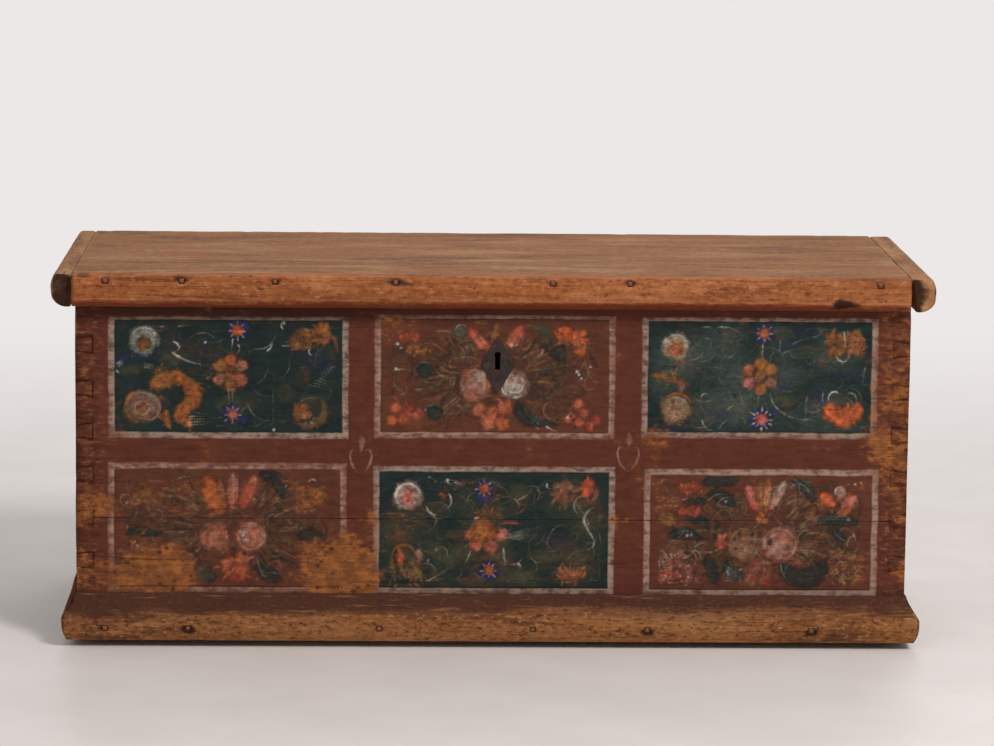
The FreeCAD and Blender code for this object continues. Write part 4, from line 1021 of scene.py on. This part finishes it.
def lowerMiddleFlowers(art):
    art.smears((-145, 95, 150, 240), 28, ("night", "olive", "brown", "olive", "umber"), 30, 14, 0.32)
    art.smears((-150, 95, 155, 240), 28, ("brown", "olive"), 40, 24, 0.13)
    art.curls((-150, 95, 155, 245), 120, ("dimGrey", "grey", "olive", "brown", "tan"), 1.6, 0.5)
    art.curls((-145, 98, 150, 242), 18, ("grey", "rose", "cream"), 1.5, 0.6)
    art.rosette(-120, 218, 21, "rose", "white", "pink", "salmon", 0.42)
    art.ring(-120, 218, 17, 5, "white", 0.3, 4.4, 0.7)
    art.disc(-119, 224, 6, "red", "pink", 0.8, 1.4)
    art.disc(-125, 126, 17, "olive", "umber", 0.6, 1.3)
    art.ring(-125, 130, 17, 5, "ochre", -0.3, 3.8, 0.8)
    art.stroke([(-142, 132), (-142, 114), (-136, 98)], 7, "ochre", "olive", 0.8)
    art.stroke([(-106, 126), (-106, 108), (-98, 92)], 8, "brown", "tan", 0.8)
    art.hatch(-120, 106, 24, 34, ("ochre", "olive", "tan", "tan"), 14, 3.4, 0.7)
    art.dab([(-133, 142), (-128, 130), (-130, 116)], 12, "salmon", "bright", 0.9)
    art.hatch(-129, 128, 7, 5, ("orange", "salmon", "red"), 8, 2.4)
    art.dab([(-106, 142), (-100, 132), (-104, 118)], 10, "rose", "dullRose", 0.8)
    art.feathers(-6, 182, 0.2, 2.8, 13, 6, 26, ("ochre", "orange", "olive", "brown"))
    art.disc(-13, 165, 20, "orange", "ochre", 0.9)
    for x, z, radius, tone in ((14, 163, 9, "pink"), (-1, 145, 10, "salmon"), (-22, 147, 8, "red"),
                               (-32, 163, 8, "orange")):
        art.disc(x, z, radius, tone, "salmon", 0.9)
        art.ring(x, z, radius * 0.7, 2.2, "pink", dice.uniform(0, 6), 2.6, 0.7)
    art.hatch(-13, 166, 15, 16, ("orange", "brown", "ochre"), 12, 4.0)
    art.line([(-26, 184), (-20, 190), (-14, 184)], 3.6, "white", "cream")
    art.stroke([(10, 178), (26, 182), (42, 178)], 5, "red", "salmon", 0.8)
    art.dab([(-34, 170), (-52, 160), (-66, 164)], 16, "umber", "olive", 0.5)
    art.disc(-12, 216, 13, "blue", "night", 0.55, 0.6)
    art.star(-11, 229, 16, "orange", "salmon")
    art.star(-4, 111, 16, "salmon", "orange")
    art.blossom(104, 222, 40, 34, ("brown", "dullRose", "tan"), ("tan", "salmon"))
    art.dab([(126, 218), (142, 226), (134, 246)], 18, "bright", "red", 0.9)
    art.stroke([(140, 210), (152, 222), (146, 234)], 9, "dullRose", "brown", 0.8)
    art.hatch(132, 232, 12, 8, ("bright", "orange", "salmon"), 10, 3.0)
    art.disc(115, 104, 20, "salmon", "brown", 0.85, 0.5)
    art.feathers(115, 92, 0.5, 2.2, 15, 8, 34, ("orange", "ochre", "brown", "salmon"))
    art.hatch(115, 107, 24, 26, ("salmon", "tan", "brown", "ochre"), 12, 3.2, 0.6)
    points = [(146, 204), (118, 188), (128, 172), (150, 166), (154, 142), (134, 142)]
    art.line(points, 4.2, "grey", "white", 0.9)
    art.ring(130, 205, 14, 2.6, "grey", 1.0, 3.4, 0.6)
    for points in (((-92, 246), (-84, 244), (-76, 236)), ((-64, 244), (-66, 234), (-50, 232)),
                   ((-152, 159), (-140, 158)), ((-92, 94), (-76, 104), (-48, 122)),
                   ((-62, 222), (-50, 204), (-76, 192)), ((-94, 204), (-90, 188), (-78, 190), (-58, 188)),
                   ((-78, 138), (-80, 148)), ((-90, 128), (-92, 114)), ((34, 212), (60, 222), (56, 238)),
                   ((30, 216), (44, 204), (34, 196)), ((16, 146), (18, 120), (24, 104)),
                   ((-30, 140), (-36, 120), (-46, 108)), ((36, 122), (46, 116), (36, 110)),
                   ((60, 126), (70, 112), (58, 106)), ((-58, 238), (-40, 236), (-30, 222)),
                   ((78, 238), (74, 228), (86, 230)), ((-80, 240), (-84, 234))):
        art.line(points, dice.uniform(2.2, 4.2), dice.choice(("white", "grey", "cream")), "dimGrey", 0.8)
    for index in range(9):
        height = 146 + 3.6 * index
        art.line([(18, 160), (54, height + 4), (94 + 3 * index, height)], 1.9, "grey", "olive", 0.5)
    art.line([(-160, 192), (-120, 194), (-86, 190)], 2.6, "brown", "olive")


def redGround(art, box, middle, level):
    # the dark brushwork behind the roses of a red panel
    lowX, lowZ, highX, highZ = box
    for index in range(16):
        place = dice.uniform(lowX + 20, highX - 20), dice.uniform(lowZ + 15, highZ - 15)
        sides = dice.uniform(18, 40), dice.uniform(10, 22)
        art.shade(*place, *sides, dice.choice(("umber", "leaf", "brown")), 0.4)
    for side in (-1, 1):
        start = math.pi / 2 - side * math.pi / 2
        for reach in (50, 85):
            art.shade(middle + side * reach, level + 6, 40, 56, "umber", 0.5)
        sprays = ((30, 24, 108, ("umber", "leaf", "umber", "brown")),
                  (16, 26, 96, ("brown", "tan", "olive", "dullRose")))
        for spray in sprays:
            art.feathers(middle + side * 18, level + 8, start + 1.0, -2.0, *spray)
        crest = (18, 30, 70, ("umber", "olive", "tan"))
        art.feathers(middle + side * 10, level + 14, start + side * 1.3, -side * 0.7, *crest)
    inner = (lowX + 12, lowZ + 12, highX - 12, highZ - 12)
    art.curls(inner, 60, ("umber", "leaf", "umber", "brown"), 4.2, 0.7)
    art.curls(inner, 110, ("brown", "olive", "tan", "dullRose", "dimGrey"), 2.0, 0.55)
    art.curls(inner, 22, ("rose", "tan", "grey"), 1.5, 0.6)


def upperMiddleFlowers(art):
    redGround(art, (-155, 312, 160, 465), 2, 380)
    art.disc(-46, 455, 11, "olive", "dimGrey", 0.8)
    art.ring(-46, 456, 8, 2.4, "grey", 0.4, 3.6, 0.7)
    art.blade([(46, 462), (76, 466), (82, 430)], 12, "olive", "dimGrey")
    art.blade([(58, 446), (70, 440), (76, 424)], 10, "umber", "tan")
    art.rose(-26, 379, 22, "dullRose", "rose", "salmon")
    art.disc(-17, 388, 11, "rose", "white", 0.6)
    art.stroke([(-46, 366), (-30, 354), (-8, 362)], 12, "salmon", "dullRose", 0.7)
    art.rose(29, 379, 21, "rose", "white", "dullRose")
    art.petal([(-6, 430), (-22, 436), (-34, 462)], 18, "salmon", "pink", "red")
    art.stroke([(-30, 466), (-16, 470), (-4, 462)], 9, "ochre", "brown", 0.85)
    art.petal([(0, 434), (2, 450), (6, 468)], 14, "brown", "salmon", "ochre")
    art.petal([(20, 434), (30, 444), (40, 464)], 19, "salmon", "pink", "red")
    art.hatch(28, 436, 7, 6, ("white", "pink"), 6, 2.6)
    for x, z, radius, tone in ((-19, 342, 11, "salmon"), (-2, 336, 12, "orange"), (17, 344, 12, "orange"),
                               (-6, 324, 11, "salmon"), (12, 323, 11, "bright")):
        art.disc(x, z, radius, tone, "salmon", 0.9)
        art.hatch(x, z, radius * 0.7, 5, ("orange", "salmon", "ochre"), 9, 3.0)
    art.ring(4, 350, 8, 3.0, "pink", -1.2, 3.4, 0.85)
    art.dots([(-10, 341), (6, 338)], 2.4, "brown")
    art.blossom(100, 450, 36, 22, ("bright", "orange", "bright"), ("orange", "salmon"))
    art.blossom(121, 440, 24, 46, ("bright", "orange", "salmon"), ("ochre", "orange"))
    art.disc(92, 424, 12, "teal", "leaf", 0.9)
    art.hatch(92, 424, 8, 5, ("teal", "dimGrey", "leaf"), 10, 2.4)
    art.blossom(-119, 446, 42, 16, ("red", "orange", "red"), ("brown", "orange"))
    art.blossom(-108, 427, 46, 15, ("ochre", "brown", "ochre"), ("olive", "tan"))
    for x, z in ((-98, 399), (-84, 338)):
        art.disc(x, z, 12, "leaf", "teal", 0.9)
        art.ring(x, z, 7, 2.4, "teal", 0.4, 3.0, 0.9)
        art.ring(x, z, 11, 2.0, "dimGrey", 0.6, 2.4, 0.7)
    art.blade([(36, 356), (32, 326), (70, 322)], 20, "leaf", "dimGrey")
    art.blade([(48, 336), (60, 322), (92, 322)], 11, "teal", "grey")
    art.ring(84, 342, 13, 3.2, "tan", 0.4, 4.4, 0.6)
    art.ring(84, 342, 8, 2.8, "umber", 2.0, 4.0, 0.7)
    places = [(-138, 344), (-143, 327), (-127, 328), (-118, 340), (-106, 336)]
    art.berries(places, 8.5, ("salmon", "red", "orange"))
    places = [(121, 351), (129, 339), (121, 325), (108, 330), (145, 328), (136, 320)]
    art.berries(places, 8, ("salmon", "red", "orange"))
    art.dots([(110, 334), (112, 328), (109, 322), (116, 318)], 1.8, "umber")
    places = [(-136, 436), (-138, 400), (118, 398), (121, 393), (137, 404), (124, 388), (-96, 342),
              (105, 332), (-131, 430)]
    art.dots(places)
    art.line([(-84, 454), (-66, 456), (-52, 450)], 3.4, "dullRose", "cream")
    art.line([(-140, 398), (-124, 402), (-112, 396)], 3.0, "cream", "olive", 0.6)
    art.line([(-112, 372), (-100, 368), (-92, 378)], 3.0, "cream", "olive", 0.7)
    art.line([(74, 320), (84, 312), (92, 312)], 4.0, "white", "dullRose")


def lowerLeftFlowers(art):
    redGround(art, (-530, 88, -220, 252), -369, 160)
    for index in range(10):
        x, z = dice.uniform(-500, -400), dice.uniform(188, 204)
        points = [(x, z), (x + 30, z + dice.uniform(-4, 4))]
        art.stroke(points, 5, dice.choice(("ochre", "brown", "orange")), "brown", 0.6)
    art.blossom(-487, 214, 56, 30, ("brown", "ochre", "brown"), ("ochre", "orange"))
    art.blossom(-255, 216, 56, 32, ("ochre", "brown", "orange"), ("ochre", "brown"))
    art.blossom(-268, 198, 50, 14, ("orange", "ochre", "brown"), ("tan", "brown"))
    art.rose(-395, 157, 22, "dullRose", "salmon", "brown")
    art.rose(-342, 159, 22, "salmon", "rose", "salmon")
    art.hatch(-352, 160, 9, 12, ("white", "rose"), 6, 2.8)
    art.disc(-336, 162, 9, "salmon", "dullRose", 0.75)
    art.petal([(-378, 194), (-398, 210), (-403, 246)], 30, "orange", "ochre", "orange")
    art.petal([(-380, 204), (-386, 222), (-386, 240)], 10, "ochre", "salmon", "dullRose")
    art.petal([(-368, 196), (-368, 220), (-367, 251)], 18, "salmon", "pink", "dullRose")
    art.petal([(-358, 198), (-348, 214), (-336, 248)], 20, "red", "salmon", "salmon")
    art.dots([(-368, 246), (-367, 240), (-368, 232), (-366, 224), (-336, 240), (-337, 212)], 2.0, "rose")
    art.blade([(-332, 248), (-304, 248), (-290, 220)], 22, "teal", "dimGrey")
    art.blade([(-318, 244), (-300, 230), (-296, 212)], 12, "leaf", "grey")
    art.blade([(-278, 156), (-258, 168), (-236, 150)], 22, "leaf", "olive")
    art.blade([(-334, 120), (-322, 100), (-298, 96)], 22, "leaf", "grey")
    art.blade([(-420, 116), (-408, 100), (-390, 100)], 22, "olive", "brown")
    art.blade([(-520, 160), (-496, 172), (-470, 158)], 15, "leaf", "olive")
    art.blossom(-364, 114, 48, 42, ("red", "salmon", "orange"), ("pink", "brown"))
    for x, z in ((-352, 124), (-376, 122), (-362, 108)):
        art.ring(x, z, 6, 2.6, "pink", dice.uniform(0, 6), 3.0, 0.7)
    for points in (((-452, 236), (-436, 246), (-424, 236), (-424, 252)),
                   ((-466, 222), (-440, 216), (-426, 234)), ((-496, 240), (-514, 226), (-500, 206)),
                   ((-444, 252), (-430, 250), (-418, 240))):
        art.line(points, 4.2, "umber", "brown")
        art.line([(x + 3, z + 3) for x, z in points], 2.2, "tan", "olive", 0.8)
    art.ring(-519, 210, 8, 2.8, "tan", 0.5, 4.6, 0.7)
    art.hatch(-500, 144, 10, 8, ("rose", "tan", "umber"), 5, 2.4)
    art.line([(-262, 236), (-254, 246), (-248, 236)], 3.4, "rose", "white")
    art.line([(-334, 132), (-330, 96), (-306, 90)], 2.2, "grey", "tan", 0.7)
    art.dots([(-518, 206), (-503, 144), (-506, 150), (-253, 240)], 2.4, "rose")


def lowerRightFlowers(art):
    redGround(art, (230, 86, 536, 248), 385, 155)
    art.blade([(298, 238), (328, 250), (352, 242)], 24, "teal", "dimGrey")
    art.blade([(304, 222), (328, 224), (346, 206)], 22, "leaf", "olive")
    art.blade([(424, 246), (448, 236), (460, 210)], 18, "teal", "grey")
    art.line([(424, 240), (432, 230), (452, 234), (462, 216)], 2.2, "grey", "dimGrey", 0.75)
    art.blade([(274, 186), (294, 192), (310, 172)], 16, "leaf", "teal")
    art.blade([(250, 160), (270, 172), (300, 158)], 18, "teal", "grey")
    art.blade([(462, 186), (494, 190), (522, 182)], 22, "teal", "grey")
    art.blade([(476, 172), (496, 168), (504, 150)], 14, "leaf", "teal")
    art.blade([(308, 136), (310, 112), (322, 92)], 22, "leaf", "dimGrey")
    art.blade([(330, 124), (342, 106), (362, 102)], 20, "leaf", "grey")
    art.blade([(414, 128), (424, 86), (472, 96), (476, 132)], 32, "teal", "dimGrey")
    art.line([(412, 128), (412, 92), (448, 84)], 2.4, "grey", "olive", 0.8)
    art.line([(436, 142), (462, 146), (480, 126)], 4.2, "tan", "grey", 0.7)
    art.rose(360, 151, 24, "dullRose", "tan", "brown")
    art.dots([(346, 158), (352, 166), (370, 164), (348, 144)], 2.6, "umber")
    art.rose(410, 151, 26, "dullRose", "rose", "salmon")
    art.dots([(396, 154)], 3.4, "umber")
    art.blossom(328, 153, 16, 28, ("red", "salmon"), ("pink", "brown"))
    art.petal([(382, 200), (372, 212), (362, 236)], 18, "red", "pink", "pink")
    art.petal([(384, 196), (381, 220), (379, 246)], 11, "ochre", "salmon", "brown")
    art.petal([(390, 196), (391, 220), (392, 248)], 11, "salmon", "cream", "ochre")
    art.petal([(394, 200), (404, 216), (416, 242)], 15, "salmon", "cream", "white")
    art.berries([(380, 186), (388, 184), (384, 194)], 5, ("ochre", "orange"))
    art.blossom(281, 231, 44, 17, ("red", "orange", "red"), ("orange", "brown"))
    art.blossom(281, 198, 44, 15, ("orange", "red", "red"), ("orange", "brown"))
    art.blade([(272, 210), (290, 214), (308, 210)], 10, "leaf", "olive")
    art.line([(270, 214), (280, 218)], 3.0, "grey", "white", 0.7)
    art.blossom(248, 187, 30, 22, ("brown", "ochre", "brown"), ("ochre", "tan"))
    art.dab([(466, 222), (476, 218), (488, 206)], 18, "bright", "orange", 0.9)
    art.dab([(496, 204), (508, 210), (518, 222)], 16, "salmon", "pink", 0.9)
    art.dab([(490, 196), (502, 196), (512, 202)], 12, "orange", "salmon", 0.85)
    art.hatch(492, 212, 22, 12, ("bright", "salmon", "orange", "pink"), 9, 2.8, 0.6)
    art.disc(495, 227, 9, "rose", "dullRose", 0.9)
    art.ring(495, 227, 7, 2.8, "white", 0.4, 4.0, 0.8)
    art.blossom(382, 110, 44, 44, ("red", "dullRose", "brown", "dullRose"), ("pink", "brown"))
    for x, z in ((244, 102), (256, 122), (270, 136), (282, 116), (264, 104), (280, 100), (252, 112),
                 (268, 122)):
        art.disc(x, z, 8, "dullRose", "red", 0.6)
        art.hatch(x, z, 8, 7, ("pink", "rose", "red", "umber"), 7, 2.4)
    for x, z in ((488, 108), (500, 100), (518, 98), (506, 124), (494, 138), (522, 116), (512, 134)):
        art.disc(x, z, 8, "brown", "ochre", 0.6)
        art.hatch(x, z, 8, 7, ("ochre", "dullRose", "rose", "umber"), 7, 2.4)
    places = [(332, 212), (278, 163), (284, 164), (508, 186), (516, 238), (524, 240), (506, 238)]
    art.dots(places, 2.2, "rose")
    art.hatch(262, 116, 24, 30, ("rose", "pink", "white"), 5, 2.0)
    art.hatch(344, 110, 16, 12, ("grey", "white", "dimGrey"), 8, 1.8)
    art.hatch(506, 114, 20, 14, ("rose", "tan"), 5, 2.0)
    art.line([(514, 168), (520, 156)], 3.6, "rose", "white")
    for index in range(6):
        points = [(334, 118 - 4 * index), (346, 112 - 3 * index), (356, 116 - 4 * index)]
        art.line(points, 2.2, "grey", "dimGrey", 0.7)
    art.line([(286, 146), (304, 154), (316, 160)], 3.4, "grey", "tan", 0.8)
    for index in range(5):
        points = [(434, 170 + index), (462, 186 + 3 * index), (500, 184 + 3 * index)]
        art.line(points, 2.0, "tan", "grey", 0.6)
    for index in range(4):
        points = [(438, 150 - 4 * index), (462, 152 - 4 * index), (488, 148 - 4 * index)]
        art.line(points, 1.9, "tan", "dimGrey", 0.7)
    art.stroke([(428, 121), (437, 126), (447, 122)], 7, "red", "dullRose", 0.85)
    art.curls((236, 92, 530, 244), 26, ("rose", "grey", "cream"), 1.6, 0.65)
    art.curls((238, 94, 298, 142), 14, ("white", "rose", "pink"), 1.8, 0.75)
    art.curls((484, 92, 530, 140), 10, ("rose", "cream", "tan"), 1.8, 0.7)


def railScroll(art, x, z):
    # a bud between two curled leaves
    art.stroke([(x, z + 4), (x + 3, z + 16), (x, z + 29)], 9, "rose", "dullRose", 0.7)
    art.stroke([(x, z + 6), (x + 2, z + 16), (x, z + 26)], 2.4, "dullRose", "brown", 0.7)
    for side in (-1, 1):
        leaf = [(x, z - 29), (x + side * 20, z - 18), (x + side * 19, z + 16), (x + side * 4, z + 3)]
        art.stroke(leaf, 4.2, "rose", "dullRose", 0.75)


panelFlowers = {
    "upper_left": upperLeftFlowers, "upper_middle": upperMiddleFlowers, "upper_right": upperRightFlowers,
    "lower_left": lowerLeftFlowers, "lower_middle": lowerMiddleFlowers, "lower_right": lowerRightFlowers,
}
keyhole = {"middle": (5.5 * mm, 411.5 * mm), "radius": 15 * mm}
for name, paint in panelFlowers.items():
    panel = panels[name]
    lowX, lowZ, highX, highZ = panel["box"]
    inset = panelPaint["line"] / mm + 1
    box = (lowX + inset, lowZ + inset, highX - inset, highZ - inset / panel["top"])
    art = Painter(box)
    paint(art)
    art.finish("flowers_" + name, panel["ground"], keyhole if name == "upper_middle" else None)
scrolls = {"halfWidth": 17, "halfHeight": 32, "places": {"left": (-187, 278), "right": (192, 284)}}
for name, (x, z) in scrolls["places"].items():
    wide, high = scrolls["halfWidth"], scrolls["halfHeight"]
    art = Painter((x - wide, z - high, x + wide, z + high))
    railScroll(art, x, z)
    art.finish("rail_scroll_" + name, "rail")
print("painted", len(panelFlowers), "panels")


# Iron keeps its CAD shape and gets the forged finish

slots = {row["node"]: row["material_slot"] for row in frame["record"]["subparts"]}
ironNodes = [node for node, slot in slots.items() if slot == "forged_iron"]
woodNails = ("lip_nails", "cleat_nails", "plinth_nails", "bottom_nails", "runner_nails")
for node in ironNodes:
    data = frame["nodes"][node].data
    data.materials.clear()
    data.materials.append(looks["nail" if node in woodNails else "iron"])
print("forged", len(ironNodes), "iron nodes")


# Stage, light and camera

stage = {
    "near": tint(226, 217, 212), "speck": tint(230, 222, 217), "far": tint(236, 232, 231),
    "halfSize": 30, "fade": (0.5, 3.2), "skyStrength": 0.48,
}
floorMesh = bmesh.new()
bmesh.ops.create_grid(floorMesh, x_segments=1, y_segments=1, size=stage["halfSize"])
floorData = bpy.data.meshes.new("floor")
floorMesh.to_mesh(floorData)
floorMesh.free()
floor = bpy.data.objects.new("floor", floorData)
bpy.context.scene.collection.objects.link(floor)


def floorLook():
    # pale floor that fades into a white distance; the distance is seen, and lights nothing
    look = Look("pale_floor")
    speckle = look.cloud(look.point, 6.0, 4.0)
    tone = look.blend(speckle.rise(0.35, 0.65), stage["near"], stage["speck"])
    bump = look.add("Bump", None, {"Height": speckle, "Distance": 0.1 * mm, "Strength": 1.0})
    ground = look.add("BsdfPrincipled", None, {"Base Color": tone, "Roughness": 0.45, "Normal": bump})
    glow = look.add("Emission", None, {"Color": stage["far"], "Strength": 1.0})
    seen = look.add("LightPath", out="Is Camera Ray") + look.add("LightPath", out="Is Glossy Ray")
    seen = (seen + look.add("LightPath", out="Is Transmission Ray")).atMost(1.0)
    away = look.split(look.point)[1].rise(*stage["fade"])
    return look.show(look.add("MixShader", None, {0: away * seen, 1: ground, 2: glow}))


floorData.materials.append(floorLook())

lamps = {
    "key": {"at": (2.2, -3.6, 3.9), "size": 1.2, "power": 190},
    "fill": {"at": (-3.4, -4.6, 2.4), "size": 3.5, "power": 25},
    "back": {"at": (0.5, 3.5, 3.2), "size": 3.0, "power": 40},
}
aim = Vector((0, 0, 0.3))
for name, lamp in lamps.items():
    data = bpy.data.lights.new(name, "AREA")
    data.size = lamp["size"]
    data.energy = lamp["power"]
    light = bpy.data.objects.new(name, data)
    light.location = lamp["at"]
    light.rotation_euler = (aim - Vector(lamp["at"])).to_track_quat("-Z", "Y").to_euler()
    bpy.context.scene.collection.objects.link(light)

world = bpy.data.worlds.new("studio")
bpy.context.scene.world = world
world.use_nodes = True
skyTree = world.node_tree
skyTree.nodes.clear()
skyLight = skyTree.nodes.new("ShaderNodeBackground")
skyLight.inputs["Color"].default_value = (1, 1, 1, 1)
skyLight.inputs["Strength"].default_value = stage["skyStrength"]
skyOut = skyTree.nodes.new("ShaderNodeOutputWorld")
skyTree.links.new(skyLight.outputs[0], skyOut.inputs["Surface"])

cameraView = {
    "place": (-164.08, -6020.05, 1270.07), "pitch": 0.1502, "yaw": -0.0292, "roll": 0.0105,
    "focalPixels": 4139.0, "imageWidth": 994, "sensor": 36, "farthest": 200,
}


def photoCamera(view):
    data = bpy.data.cameras.new("camera")
    data.sensor_fit = "HORIZONTAL"
    data.sensor_width = view["sensor"]
    data.lens = view["focalPixels"] / view["imageWidth"] * view["sensor"]
    data.clip_end = view["farthest"]
    pitch, yaw, roll = view["pitch"], view["yaw"], view["roll"]
    right = Vector((math.cos(yaw), math.sin(yaw), 0))
    level = Vector((-math.sin(yaw), math.cos(yaw), 0))
    forward = math.cos(pitch) * level - math.sin(pitch) * Vector((0, 0, 1))
    up = right.cross(forward)
    sideways = math.cos(roll) * right + math.sin(roll) * up
    upright = math.cos(roll) * up - math.sin(roll) * right
    turn = Matrix((sideways, upright, -forward)).transposed().to_4x4()
    camera = bpy.data.objects.new("camera", data)
    camera.matrix_world = Matrix.Translation(Vector(view["place"]) * mm) @ turn
    bpy.context.scene.collection.objects.link(camera)
    bpy.context.scene.camera = camera


photoCamera(cameraView)
bpy.context.scene.view_settings.view_transform = "Standard"
print("stage is set")
